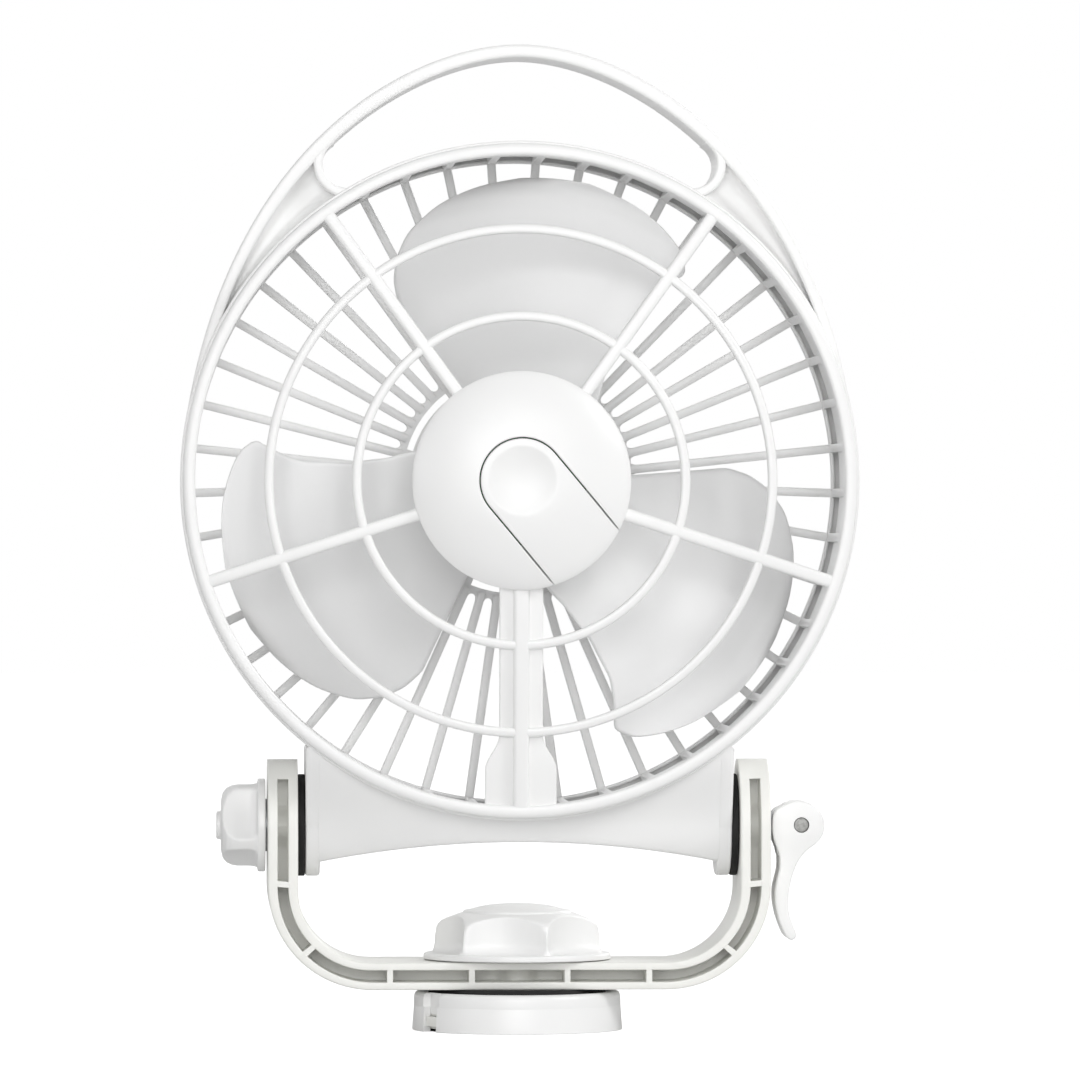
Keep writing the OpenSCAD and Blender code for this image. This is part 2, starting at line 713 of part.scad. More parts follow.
// ---- Rear guard -----------------------------------------------------------------------------------

strut_w = 13;
strut_foot_w = 19;
strut_foot_h = 8.7;
strut_taper_h = 5.3;
seat_r = can_r + drop_fit;
lead_w = 2.2;
lead_t = 0.9;
lead_slot = lead_w + 0.6;

module rear_ribs() {
  for (i = [0 : rib_n - 1]) rotate(-90 + i * rib_pitch) translate([plate_r - 2, -rib_w / 2])
    square([ring_r + 0.6 - plate_r + 2, rib_w]);
}

// Strut under the motor plate: straight, with a taper to a wider foot at the ring.
module strut_area() {
  foot_y = strut_foot_h - ring_r;
  translate([-strut_w / 2, -ring_r - 0.5]) square([strut_w, ring_r + 0.5 - plate_r + 8]);
  translate([-strut_foot_w / 2, -ring_r - 0.3]) square([strut_foot_w, strut_foot_h + 0.3]);
  polygon([[-strut_foot_w / 2, foot_y - 0.1], [strut_foot_w / 2, foot_y - 0.1],
           [strut_w / 2, foot_y + strut_taper_h], [-strut_w / 2, foot_y + strut_taper_h]]);
}

module rear_guard() {
  color(white) on_fan_axis() translate([0, 0, -back]) difference() {
    union() {
      tube(shell_in - drop_fit, ring_r, rib_d);
      linear_extrude(rib_d) intersection() {
        union() {
          rear_ribs();
          strut_area();
        }
        difference() {
          circle(r = ring_r + 0.6);
          circle(r = plate_r - 2);
        }
      }
      cylinder(r = plate_r, h = plate_t);
      tube(seat_r + 2, seat_r, 10);
    }
    // arc-shaped cooling slots round the motor
    difference() {
      translate([0, 0, -1]) tube(plate_r - 1.6, plate_r - 3.4, plate_t + 2);
      for (a = [0 : 45 : 315]) rotate(a + 22) translate([-0.1, -3, -2]) cube([plate_r + 5, 6, plate_t + 4]);
      translate([-strut_w / 2, -plate_r - 5, -2]) cube([strut_w, 20, plate_t + 4]);
    }
    translate([0, 0, -1]) cylinder(r = 8, h = plate_t + 2);
    for (a = motor_screw_angles) rotate(a) translate([motor_screw_r, 0, -1])
      cylinder(r = motor_screw_shank_r + 0.4, h = plate_t + 2);
    for (a = cover_screw_angles) rotate(a) translate([cover_screw_r, 0, -1])
      cylinder(r = cover_shank_r + 0.05, h = plate_t + 2);
    // channel for the switch lead down the strut
    translate([-lead_slot / 2, -ring_r - 5, rib_d - lead_t - 0.4])
      cube([lead_slot, ring_r + 5 - seat_r - 2.5, 3]);
    translate([-lead_slot / 2, -seat_r - 6.5, -1]) cube([lead_slot, 4, 10]);
  }
}

// ---- Front guard and hub ----------------------------------------------------------------------

// The grille's front lies on a sphere through the ring's front edge and the hub seat's edge.
dome_centre = (ring_r * ring_r - hub_r * hub_r - grille_rise * grille_rise) / (2 * grille_rise);
dome_sphere = sqrt(ring_r * ring_r + dome_centre * dome_centre);

// Slice between two domes: depth of its outer and of its inner face behind the grille's front.
module dome_layer(outer, inner) {
  translate([0, 0, ring_front - dome_centre]) rotate_extrude($fn = 180) intersection() {
    difference() {
      circle(r = dome_sphere - outer, $fn = 720);
      circle(r = dome_sphere - inner, $fn = 720);
    }
    translate([0, dome_centre - 20]) square([ring_r + 2, 60]);
  }
}

module front_guard() {
  bottom_spoke_w = spoke_w + 0.8;
  seat_hole_r = 15;
  slab = 12;                          // depth of the bars' cut-outs behind the ring's front
  slab_h = slab + grille_rise;
  color(white) on_fan_axis() {
    rotate_extrude() union() {
      translate([ring_r, lip_back]) square([lip_w - 1.5, lip_t]);
      translate([ring_r, lip_back]) square([lip_w, lip_t - 1.5]);
      translate([ring_out - 1.5, ring_front - 1.5]) circle(r = 1.5);
      translate([ring_r, lip_back - spigot_l]) square([spigot_w, spigot_l + 0.01]);
    }
    intersection() {
      dome_layer(0, bar_t);
      translate([0, 0, ring_front - slab]) union() {
        for (i = [0 : spoke_n - 1]) rotate(-90 + i * 360 / spoke_n)
          translate([hub_r - 3, -(i == 0 ? bottom_spoke_w : spoke_w) / 2, 0])
            cube([ring_r - hub_r + 3.5, i == 0 ? bottom_spoke_w : spoke_w, slab_h]);
        for (r = [circle_in_r, circle_out_r]) tube(r + circle_w / 2, r - circle_w / 2, slab_h);
      }
    }
    translate([0, 0, seat_z - 2.2]) tube(hub_r, seat_hole_r, 2.2);
  }
}

module button_area(grow) {
  rotate(button_dir) {
    circle(r = button_r + grow);
    translate([0, -button_r - grow]) square([hub_r + 5, 2 * (button_r + grow)]);
  }
}

cap_sphere = 70;
// Solid dome of the hub cap, over its seat: radius and height less an inset.
module hub_dome(inset) {
  edge = 4.5 - inset;
  r = hub_r - inset;
  h = hub_h - inset;
  rotate_extrude() intersection() {
    translate([0, h - cap_sphere]) circle(r = cap_sphere, $fn = 360);
    union() {
      square([r - edge, h]);
      square([r, h - edge - 0.8]);
      translate([r - edge, h - edge - 0.8]) circle(r = edge);
    }
    square([hub_r, hub_h]);
  }
}

module hub_shell() {
  difference() {
    hub_dome(0);
    translate([0, 0, -0.01]) hub_dome(hub_wall);
  }
}

module hub_cap() {
  color(white) on_fan_axis() translate([0, 0, seat_z]) difference() {
    hub_shell();
    translate([0, 0, -1]) linear_extrude(hub_h + 2) button_area(slide_gap / 2);
  }
}

module speed_button() {
  dish_depth = 0.9;
  dish_sphere = (dish_r * dish_r + dish_depth * dish_depth) / (2 * dish_depth);
  color(white) on_fan_axis() translate([0, 0, seat_z]) difference() {
    intersection() {
      hub_shell();
      translate([0, 0, 0.4]) linear_extrude(hub_h + 2) button_area(-slide_gap / 2);
    }
    translate([0, 0, hub_h - dish_depth + dish_sphere]) sphere(r = dish_sphere, $fn = 180);
  }
}

board_t = 1.2;
switch_h = 2;
plunger_h = 0.7;

module switch_board() {
  board_r = 17;
  color(board_green) on_fan_axis() translate([0, 0, seat_z + 0.05]) cylinder(r = board_r, h = board_t);
}

module tact_switch() {
  body = 6;
  color(black) on_fan_axis() translate([0, 0, seat_z + 0.06 + board_t]) {
    translate([-body / 2, -body / 2, 0]) cube([body, body, switch_h]);
    cylinder(r = 1.7, h = switch_h + plunger_h);
  }
}

// Flat lead from the hub's switch, behind the bottom spoke, along the wall and up the rear strut.
module switch_lead() {
  strip_r = ring_r - 0.05;
  hub_end = 12;
  color(black) on_fan_axis() {
    intersection() {
      dome_layer(bar_t + 0.05, bar_t + 0.05 + lead_t);
      translate([-lead_w / 2, -strip_r, -10]) cube([lead_w, strip_r - hub_end, 60]);
    }
    translate([-lead_w / 2, -hub_end - lead_t, seat_z - bar_t]) cube([lead_w, lead_t, bar_t + 0.04]);
    translate([-lead_w / 2, -strip_r, rib_front - lead_t - 0.2])
      cube([lead_w, lead_t, ring_front - bar_t - 0.8 - rib_front + lead_t + 0.2]);
    translate([-lead_w / 2, -strip_r, rib_front - lead_t - 0.2])
      cube([lead_w, strip_r - seat_r - 3.2, lead_t]);
    translate([-lead_w / 2, -seat_r - 4.4, -back - 3]) cube([lead_w, lead_t, rib_d + 3 - 0.3]);
  }
}

// ---- Motor --------------------------------------------------------------------------------------

can_back = plate_z + 0.1;             // the can stands on the motor plate
can_front = can_back + can_l;
can_t = 1.2;
bush_r = 4;
bush_l = 5;
cover_r = 26.5;
cover_d = 9;
cover_screw_angles = [40, 160, 280];
motor_screw_angles = [90, 210, 330];
motor_screw_r = 12.5;
motor_screw_shank_r = 1.2;
cover_screw_r = cover_r - 3;
cover_shank_r = 1;
cover_hole_r = cover_shank_r + 0.15;
end_cap_t = 3;
magnet_t = 3.2;

module motor_can() {
  color(steel) on_fan_axis() translate([0, 0, can_back]) difference() {
    cylinder(r = can_r, h = can_l);
    translate([0, 0, -1]) cylinder(r = can_r - can_t, h = can_l - can_t + 1);
    translate([0, 0, 1]) cylinder(r = bush_r + 0.05, h = can_l);
  }
}

module motor_end_cap() {
  color(black) on_fan_axis() translate([0, 0, can_back]) difference() {
    cylinder(r = can_r - can_t - 0.1, h = end_cap_t);
    translate([0, 0, -1]) cylinder(r = bush_r + 0.05, h = end_cap_t + 2);
    for (a = motor_screw_angles) rotate(a) translate([motor_screw_r, 0, -1])
      cylinder(r = motor_screw_shank_r + 0.05, h = end_cap_t + 2);
  }
}

module motor_bushes() {
  color(brass) on_fan_axis() {
    translate([0, 0, can_back - 1]) tube(bush_r, shaft_r + run_fit, bush_l);
    translate([0, 0, can_front - bush_l + 1.6]) tube(bush_r, shaft_r + run_fit, bush_l);
  }
}

module motor_magnets() {
  back_gap = 5;
  front_gap = 4;
  h = can_l - end_cap_t - back_gap - front_gap;
  color([0.25, 0.25, 0.26]) on_fan_axis() translate([0, 0, can_back + end_cap_t + back_gap]) difference() {
    tube(can_r - can_t - 0.05, can_r - can_t - magnet_t, h);
    translate([-can_r, -3, -1]) cube([2 * can_r, 6, h + 2]);
  }
}

module motor_brushes() {
  color([0.30, 0.22, 0.18]) on_fan_axis() for (s = [-1, 1])
    translate([s * 5.6 - 1.3, -1.5, can_back + end_cap_t + 0.1]) cube([2.6, 3, 3.4]);
}

module motor_screws() {
  color(steel) on_fan_axis() translate([0, 0, -back - 0.02]) for (a = motor_screw_angles) rotate(a)
    translate([motor_screw_r, 0, 0]) rotate([180, 0, 0])
      pan_screw(2.6, 1.6, motor_screw_shank_r, plate_t + end_cap_t - 0.3);
}

module motor_cover() {
  color(white) on_fan_axis() translate([0, 0, -back - 0.05]) difference() {
    rotate([180, 0, 0]) rotate_extrude() difference() {
      polygon([[0, 0], [cover_r, 0], [cover_r, cover_d - 4], [cover_r - 1.2, cover_d - 1.2],
               [cover_r - 4, cover_d], [0, cover_d]]);
      translate([-1, -1]) square([cover_r - 1, cover_d - 1]);
    }
    // vents and the opening for the power inlet
    for (a = [0 : 30 : 150]) rotate(a - 75 + 90) translate([9, -1, -cover_d - 1]) cube([10, 2, 3]);
    translate([0, -inlet_drop, -cover_d - 1]) cylinder(r = inlet_r + drop_fit, h = 4);
    for (a = cover_screw_angles) rotate(a) translate([cover_screw_r, 0, -cover_d - 1])
      cylinder(r = cover_hole_r, h = 4);
  }
  color(white) on_fan_axis() translate([0, 0, -back - cover_d + 1.5]) for (a = cover_screw_angles) rotate(a)
    translate([cover_screw_r, 0, 0]) tube(2.6, cover_hole_r, cover_d - 1.6);
}

module cover_screws() {
  color(steel) on_fan_axis() translate([0, 0, -back - cover_d - 0.06]) for (a = cover_screw_angles) rotate(a)
    translate([cover_screw_r, 0, 0]) rotate([180, 0, 0])
      pan_screw(2.2, 1.3, cover_shank_r, cover_d + plate_t - 0.4);
}

inlet_r = 4.6;
inlet_l = 8;
inlet_drop = 12;                      // of the inlet under the fan axis

// Round 12 V socket: a barrel with a centre pin, open to the rear.
module power_inlet() {
  color(black) on_fan_axis() translate([0, -inlet_drop, -back - cover_d - 0.6]) difference() {
    union() {
      cylinder(r = inlet_r, h = inlet_l);
      cylinder(r = inlet_r + 1.2, h = 0.54);
    }
    difference() {
      translate([0, 0, -1]) cylinder(r = 3.2, h = inlet_l - 0.2);
      cylinder(r = 1.05, h = inlet_l);
    }
  }
}

// ---- Rotor --------------------------------------------------------------------------------------

prop_back = -9;                       // rim of the propeller's hub, along the fan axis
prop_front = can_front + 6;
shaft_front = prop_front + 5;
shaft_back = can_back - 0.9;

module motor_shaft() {
  color(steel) on_fan_axis() translate([0, 0, shaft_back])
    cylinder(r = shaft_r, h = shaft_front - shaft_back);
}

module armature() {
  core_r = can_r - can_t - magnet_t - 0.5;
  back_gap = 6;
  front_gap = 5;
  h = can_l - end_cap_t - back_gap - front_gap;
  color(copper) on_fan_axis() translate([0, 0, can_back + end_cap_t + back_gap]) difference() {
    cylinder(r = core_r, h = h);
    translate([0, 0, -1]) cylinder(r = shaft_r + 0.01, h = h + 2);
    for (a = [0 : 72 : 288]) rotate(a) translate([core_r - 3, -0.8, -1]) cube([5, 1.6, h + 2]);
  }
}

module commutator() {
  color(brass) on_fan_axis() translate([0, 0, can_back + end_cap_t + 1.4]) tube(3.9, shaft_r + 0.01, 4.2);
}

blade_pitch = 360 / blade_n;
edge_first = 22;                      // the edges' angles are given from this radius
edge_last = 80.4;                     // to this one, and stretched over the blade

// Angles of a blade's two edges at a radius, and its mid surface height along the fan axis.
function edge_a(r) = lookup(r, [[22, 158], [35, 170], [45, 174], [57, 174.6], [62, 173], [70, 169.5],
                                [74, 172.5], [77.5, 181], [79.6, 190], [80.5, 200]]);
function edge_b(r) = lookup(r, [[22, 243], [42, 243.5], [56, 244.5], [62, 242.5], [67, 239.5],
                                [72, 234.5], [76.5, 226], [79.6, 215], [80.5, 206]]);
function blade_z(r, f) = blade_mid + (0.5 - f) * blade_rise * (1.15 - 0.25 * r / blade_r)
                         + 2.2 * sin(180 * f) - 1.1;
blade_mid = 1.5;

// A blade from inside the hub's wall to the tip. Its share of the way out, s, picks the edges.
module blade() {
  nr = 15;
  na = 12;
  root_r = prop_hub_r - 1;
  shares = [for (i = [0 : nr]) 1 - pow(1 - i / nr, 1.6)];
  face = [for (side = [0, 1], i = [0 : nr], j = [0 : na])
    let (s = shares[i], f = j / na, r = root_r + (blade_r - 0.1 - root_r) * s,
         k = edge_first + (edge_last - edge_first) * s, a = edge_a(k) + (edge_b(k) - edge_a(k)) * f)
    [r * cos(a), r * sin(a), blade_z(r, f) + (side - 0.5) * blade_t]];
  n = na + 1;
  top = (nr + 1) * n;
  quads = concat(
    [for (i = [0 : nr - 1], j = [0 : na - 1])
      [i * n + j, i * n + j + 1, (i + 1) * n + j + 1, (i + 1) * n + j]],
    [for (i = [0 : nr - 1], j = [0 : na - 1])
      [top + i * n + j, top + (i + 1) * n + j, top + (i + 1) * n + j + 1, top + i * n + j + 1]],
    [for (i = [0 : nr - 1]) [i * n, (i + 1) * n, top + (i + 1) * n, top + i * n]],
    [for (i = [0 : nr - 1]) [i * n + na, top + i * n + na, top + (i + 1) * n + na, (i + 1) * n + na]],
    [for (j = [0 : na - 1]) [j, top + j, top + j + 1, j + 1]],
    [for (j = [0 : na - 1]) [nr * n + j, nr * n + j + 1, top + nr * n + j + 1, top + nr * n + j]]);
  triangles = [for (q = quads) each [[q[0], q[2], q[1]], [q[0], q[3], q[2]]]];
  polyhedron(points = face, faces = triangles, convexity = 4);
}

module propeller() {
  cup_t = 2;
  cup_in_r = can_r + 2.6;
  cup_l = prop_front - prop_back;
  shaft_boss_r = 6;
  color(blade_grey) on_fan_axis() difference() {
    union() {
      translate([0, 0, prop_back]) cylinder(r = prop_hub_r, h = cup_l);
      for (i = [0 : blade_n - 1]) rotate(i * blade_pitch) blade();
    }
    difference() {
      translate([0, 0, prop_back - 1]) cylinder(r = cup_in_r, h = cup_l + 1 - cup_t);
      translate([0, 0, can_front + 2]) cylinder(r = shaft_boss_r, h = cup_l);
    }
    translate([0, 0, can_front]) cylinder(r = shaft_r + 0.01, h = cup_l);
  }
}

module propeller_nut() {
  color(brass) on_fan_axis() translate([0, 0, prop_front + 0.02]) difference() {
    cylinder(r = 4, h = 3, $fn = 6);
    translate([0, 0, -1]) cylinder(r = shaft_r + 0.01, h = 5);
  }
}

// ---- Nodes --------------------------------------------------------------------------------------

foot_pad();
mounting_disc();
release_tab();
latch_spring();
base_shell();
grip_pad();
swivel_bolt();
yoke();
swivel_washer();
swivel_knob();
swivel_knob_nut();
tilt_washer();
tilt_knob();
tilt_bolt();
tilt_pads();
cam_washer();
cam_rod();
cam_pin();
cam_lever();
housing();
saddle_covers();
saddle_screws();
ear_nuts();
rear_guard();
front_guard();
hub_cap();
speed_button();
switch_board();
tact_switch();
switch_lead();
motor_can();
motor_end_cap();
motor_bushes();
motor_magnets();
motor_brushes();
motor_screws();
motor_cover();
cover_screws();
power_inlet();
motor_shaft();
armature();
commutator();
propeller();
propeller_nut();
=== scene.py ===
from math import asin, atan2, cos, degrees, hypot, pi, radians, sin, sqrt

import bmesh
import bpy
import numpy as np
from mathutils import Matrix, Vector
from mathutils.geometry import tessellate_polygon


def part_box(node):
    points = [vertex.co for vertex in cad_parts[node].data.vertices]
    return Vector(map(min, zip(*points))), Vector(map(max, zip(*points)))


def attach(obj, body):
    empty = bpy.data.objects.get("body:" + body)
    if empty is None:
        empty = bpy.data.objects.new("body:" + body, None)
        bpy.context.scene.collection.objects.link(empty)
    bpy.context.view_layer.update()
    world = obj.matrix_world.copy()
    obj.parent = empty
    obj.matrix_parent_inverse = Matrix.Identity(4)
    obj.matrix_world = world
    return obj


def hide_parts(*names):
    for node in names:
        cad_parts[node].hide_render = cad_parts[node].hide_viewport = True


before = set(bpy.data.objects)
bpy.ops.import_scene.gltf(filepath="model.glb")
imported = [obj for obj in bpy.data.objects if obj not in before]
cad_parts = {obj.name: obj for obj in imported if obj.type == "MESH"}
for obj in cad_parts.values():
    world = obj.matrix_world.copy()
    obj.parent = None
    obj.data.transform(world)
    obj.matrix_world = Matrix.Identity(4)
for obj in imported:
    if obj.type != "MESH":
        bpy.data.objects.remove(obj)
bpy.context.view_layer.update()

# ---- Foot pad, mounting disc, latch and bolt ----
# The foot is a disc of ABS screwed to the table, with a rubber sheet under it. The release tab
# slides in it against a small steel spring, and a zinc-plated bolt stands up through its middle.


def linear(hex_colour):
    """sRGB hex to linear RGBA: ((c + 0.055) / 1.055) ^ 2.4 for each channel, or c / 12.92 when dark."""
    c = np.array([int(hex_colour[k : k + 2], 16) for k in (1, 3, 5)]) / 255
    return (*np.where(c > 0.04045, ((c + 0.055) / 1.055) ** 2.4, c / 12.92).tolist(), 1.0)


def emptied(owner):
    """The node tree of a new material or world, with nothing in it."""
    owner.use_nodes = True
    owner.node_tree.nodes.clear()
    return owner.node_tree


def add(tree, kind, inputs=None, **settings):
    """Adds a shader node, sets its properties, and gives its inputs values or links from outputs."""
    made = tree.nodes.new("ShaderNode" + kind)
    for name, value in settings.items():
        setattr(made, name, value)
    for name, value in (inputs or {}).items():
        if isinstance(value, bpy.types.NodeSocket):
            tree.links.new(value, made.inputs[name])
        else:
            made.inputs[name].default_value = value
    return made


def mixed_colour(tree, share, first, second):
    """Colour that runs from one sRGB hex to another."""
    return add(tree, "Mix", {"Factor": share, 6: linear(first), 7: linear(second)},
        data_type="RGBA").outputs[2]


def finish(name, height, relief_mm, tint, rough, metallic=0.0, ior=1.5):
    """A material. Patterns are functions of (tree, place): height is one, tint is (pattern, hex, hex)
    and rough the lowest and highest roughness, which change in soft patches like wear."""
    material = bpy.data.materials.new(name)
    tree = emptied(material)
    at = add(tree, "TexCoord").outputs["Object"]
    gloss = add(tree, "MapRange", {"Value": noise(1000 / 90, 3.0)(tree, at), "From Min": 0.35,
        "From Max": 0.65, "To Min": rough[0], "To Max": rough[1]})
    bump = add(tree, "Bump", {"Height": height(tree, at), "Strength": 0.5,
        "Distance": relief_mm / 1000})
    inputs = {"Base Color": mixed_colour(tree, tint[0](tree, at), *tint[1:]), "Metallic": metallic,
        "Roughness": gloss.outputs[0], "Normal": bump.outputs[0]}
    if not metallic:
        inputs["IOR"] = ior
    shader = add(tree, "BsdfPrincipled", inputs)
    add(tree, "OutputMaterial", {"Surface": shader.outputs[0]})
    return material


def noise(size_mm, detail=2.0, stretch=(1, 1, 1)):
    """A noise whose blotches are size_mm across, drawn out along an axis where stretch is small."""
    def made(tree, at):
        drawn = add(tree, "Mapping", {"Vector": at, "Scale": stretch})
        return add(tree, "TexNoise", {"Vector": drawn.outputs[0], "Detail": detail,
            "Scale": 1000 / size_mm}).outputs["Fac"]
    return made


# Natural rubber, cut from sheet: deep matt black with a faint cloth-like grain.
rubber = finish("rubber_moulded_matt", noise(0.5), 0.06, (noise(4), "#0D0D0D", "#151515"),
    (0.66, 0.82), ior=1.45)
# ABS with a warm tint, spark-eroded mould: satin, with a fine even grain and hardly any gloss.
abs_warm = finish("abs_warm_white_satin", noise(0.45, 3), 0.012,
    (noise(22), "#F3F3EF", "#EDEDE8"), (0.36, 0.44), ior=1.53)
# Zinc-plated steel: cold pale grey, soft drawn streaks from the wire or bar that it was made of.
zinc = finish("steel_zinc_plated", noise(0.6, 4, (1, 1, 0.15)), 0.01,
    (noise(1.5), "#A9ACAF", "#C2C4C6"), (0.28, 0.42), metallic=1.0)
# Spring steel: darker, drawn smooth, with a touch of blue from tempering.
spring_steel = finish("spring_steel_tempered", noise(0.3), 0.004,
    (noise(1), "#6F747A", "#858A90"), (0.22, 0.3), metallic=1.0)


def dress(material, *names):
    """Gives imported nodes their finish."""
    for name in names:
        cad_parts[name].material_slots[0].material = material


def span(name):
    """A node's lowest and highest corner in millimetres."""
    return [np.array(corner) * 1000 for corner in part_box(name)]


def skin(grid, whole=False, caps=True):
    """Quads over rows of points, each row a closed loop. Whole joins the last row to the first;
    otherwise caps fill the two ends."""
    nu, nv = grid.shape[:2]
    i, j = np.meshgrid(np.arange(nu - (not whole)), np.arange(nv), indexing="ij")
    a, b = (i + 1) % nu, (j + 1) % nv
    faces = np.stack([i * nv + j, a * nv + j, a * nv + b, i * nv + b], -1).reshape(-1, 4).tolist()
    if caps and not whole:
        faces += [list(range(nv)), list(range((nu - 1) * nv, nu * nv))]
    return grid.reshape(-1, 3), faces


def put(name, data):
    """A new object in the scene, at the origin."""
    made = bpy.data.objects.new(name, data)
    bpy.context.scene.collection.objects.link(made)
    return made


def place(name, shell, material, body, node, sharp=38):
    """A piece from a shell in millimetres that rides a body in place of a node: poles merged, faces
    outwards, edges over sharp degrees crisp."""
    points, faces = shell
    mesh = bpy.data.meshes.new(name)
    mesh.from_pydata(points / 1000, [], faces)
    work = bmesh.new()
    work.from_mesh(mesh)
    bmesh.ops.remove_doubles(work, verts=work.verts, dist=2e-6)
    bmesh.ops.dissolve_degenerate(work, edges=work.edges, dist=1e-7)
    bmesh.ops.recalc_face_normals(work, faces=work.faces)
    work.to_mesh(mesh)
    work.free()
    mesh.shade_smooth()
    mesh.set_sharp_from_angle(angle=radians(sharp))
    mesh.materials.append(material)
    piece = put(name, mesh)
    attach(piece, body)
    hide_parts(node)
    return piece


dress(rubber, "foot_pad")
dress(abs_warm, "mounting_disc", "release_tab")
dress(zinc, "swivel_bolt")

# The spring is a helix: a circle of wire carried along (r cos a, r sin a, pitch * a).
latch_way = 211.0
out = np.array([cos(radians(latch_way)), sin(radians(latch_way)), 0])
side, up = np.array([-out[1], out[0], 0]), np.array([0, 0, 1.0])
spring_length, spring_turns, coil_r, wire_r = 9.8, 11, 0.6, 0.17
share = np.linspace(0, 1, spring_turns * 18)[:, None]
turn = 2 * pi * spring_turns * share
outwards = np.cos(turn) * side + np.sin(turn) * up
coil = sum(span("latch_spring")) / 2 + (share - 0.5) * spring_length * out + coil_r * outwards
along = np.gradient(coil, axis=0)
third = np.cross(along / np.linalg.norm(along, axis=1, keepdims=True), outwards)
around = np.linspace(0, 2 * pi, 8, endpoint=False)[:, None]
wire = coil[:, None] + wire_r * (np.cos(around) * outwards[:, None] + np.sin(around) * third[:, None])
place("latch_spring_coil", skin(wire), spring_steel, "base", "latch_spring")

# ---- Base shell ----
# A shallow round cap moulded in white ABS, with a raised rim round the pad's well. A notch in its
# wall lets a finger reach the release tab, and a socket under its top holds the bolt's hexagon head.


# White ABS from a polished mould: clean neutral white, soft gloss, a faint orange peel in reflections.
abs_white = finish("abs_white_satin_gloss", noise(0.8, 2), 0.008, (noise(30), "#F5F5F4", "#F0F0F0"),
    (0.29, 0.35), ior=1.53)


def box(left, right, low, high):
    """The four corners of an upright rectangle, which may be numbers or arrays."""
    return [[left, low], [right, low], [right, high], [left, high]]


def corner(before, at, after, radius, steps=4):
    """Rounds a corner by a parabola that leaves each edge at radius from it, less on a short edge."""
    start, end = (at + way * np.minimum(radius / (np.linalg.norm(way, axis=-1, keepdims=True) + 1e-9),
        0.48) for way in (before - at, after - at))
    t = np.linspace(0, 1, steps + 1)[:, None]
    return ((1 - t) ** 2 * start[..., None, :] + 2 * t * (1 - t) * at[..., None, :]
        + t ** 2 * end[..., None, :])


def rounded(corners, radius, steps=4):
    """A closed outline, or a stack of them, with every corner rounded."""
    corners = np.asarray(corners, float)
    n = corners.shape[-2]
    radii = np.broadcast_to(radius, n)
    return np.concatenate([corner(corners[..., k - 1, :], corners[..., k, :],
        corners[..., (k + 1) % n, :], radii[k], steps) for k in range(n)], -2)


def at_angle(angle, r, across, height):
    """Points in a frame turned to an angle in degrees about +Z: outwards, across and up."""
    c, s = np.cos(np.radians(angle)), np.sin(np.radians(angle))
    x, y = np.multiply(r, c) - np.multiply(across, s), np.multiply(r, s) + np.multiply(across, c)
    return np.stack(np.broadcast_arrays(x, y, height), -1)


def turned(profile, first=0.0, last=360.0, turns=128):
    """A closed profile (radius, height) carried round +Z, all the way or over an arc."""
    whole = last - first >= 360
    angle = np.linspace(first, last, turns, endpoint=not whole)[:, None]
    r, z = profile.T
    return skin(at_angle(angle, r, 0, z), whole)


def from_nearest(angle, first, apart=360.0):
    """Degrees from the nearest of a ring of directions: the first one, and more of them apart."""
    return (angle - first + apart / 2) % apart - apart / 2


def join(*shells):
    """Several closed shells as one."""
    starts = np.cumsum([0] + [len(points) for points, _ in shells])
    faces = [[k + start for k in face] for start, (_, own) in zip(starts, shells) for face in own]
    return np.concatenate([points for points, _ in shells]), faces


base_r, _, base_h = span("base_shell")[1]
base_wall, bolt_hole_r = 2.2, 3.1
wall_top = base_h - base_wall
notch_half, notch_in, notch_ramp = degrees(asin(3.1 / base_r)), 1.7, 1.6
notch_foot, socket_foot = 4.7, 1.4
rim_top, well_r = base_h + 1.6, 24.2
lid, lid_faces = turned(rounded([[bolt_hole_r, wall_top], [base_r - 0.46, wall_top],
    [base_r - 0.5, rim_top], [well_r + 0.4, rim_top], [well_r, base_h],
    [bolt_hole_r, base_h]], [0.1, 0.1, 1.7, 0.7, 0.3, 0.3]), turns=360)
off_notch = np.abs(from_nearest(np.degrees(np.arctan2(lid[:, 1], lid[:, 0])), latch_way))
open_to = base_r - 0.4 - notch_in * np.clip((notch_half + notch_ramp - off_notch) / notch_ramp, 0, 1)
lid_reach = np.hypot(lid[:, 0], lid[:, 1])
lid[:, :2] *= (np.minimum(lid_reach, open_to) / lid_reach)[:, None]
skirt = turned(rounded([[base_r - base_wall, 0], [base_r, 0], [base_r - 0.44, wall_top + 0.1],
    [base_r - base_wall, wall_top + 0.1]], [0.3, 0.35, 0.05, 0.05]),
    latch_way + notch_half, latch_way + 360 - notch_half)
notch_wall = turned(rounded(box(base_r - notch_in - 2, base_r - notch_in - 0.6, notch_foot,
    wall_top + 0.3), 0.1), latch_way - notch_half - 2, latch_way + notch_half + 2, turns=12)
socket = turned(rounded(box(5.9, 6.97, socket_foot, wall_top + 0.1), 0.2))
place("base_shell_cap", join((lid, lid_faces), skirt, notch_wall, socket), abs_white, "base",
    "base_shell")

# ---- Grip pad ----
# A black rubber disc between base and yoke, moulded with a rounded shoulder so that it grips when
# the knob is tight.

(_, _, pad_low), (_, _, pad_high) = span("grip_pad")
pad_r, pad_hole_r = well_r - 0.3, 3.16
pad = turned(rounded([[pad_hole_r, pad_low], [pad_r, pad_low],
    [pad_r - 0.2, pad_low + 0.6 * (pad_high - pad_low)], [pad_r - 1.1, pad_high],
    [pad_hole_r, pad_high]], [0.1, 0.2, 0.6, 0.6, 0.1]))
place("grip_pad_disc", pad, rubber, "base", "grip_pad")

# ---- Yoke ----
# A U-shaped strap of warm white ABS, moulded with pockets from the front and the back so that only
# two walls, a middle web and cross ribs are left. Its arms end round the tilt axis.

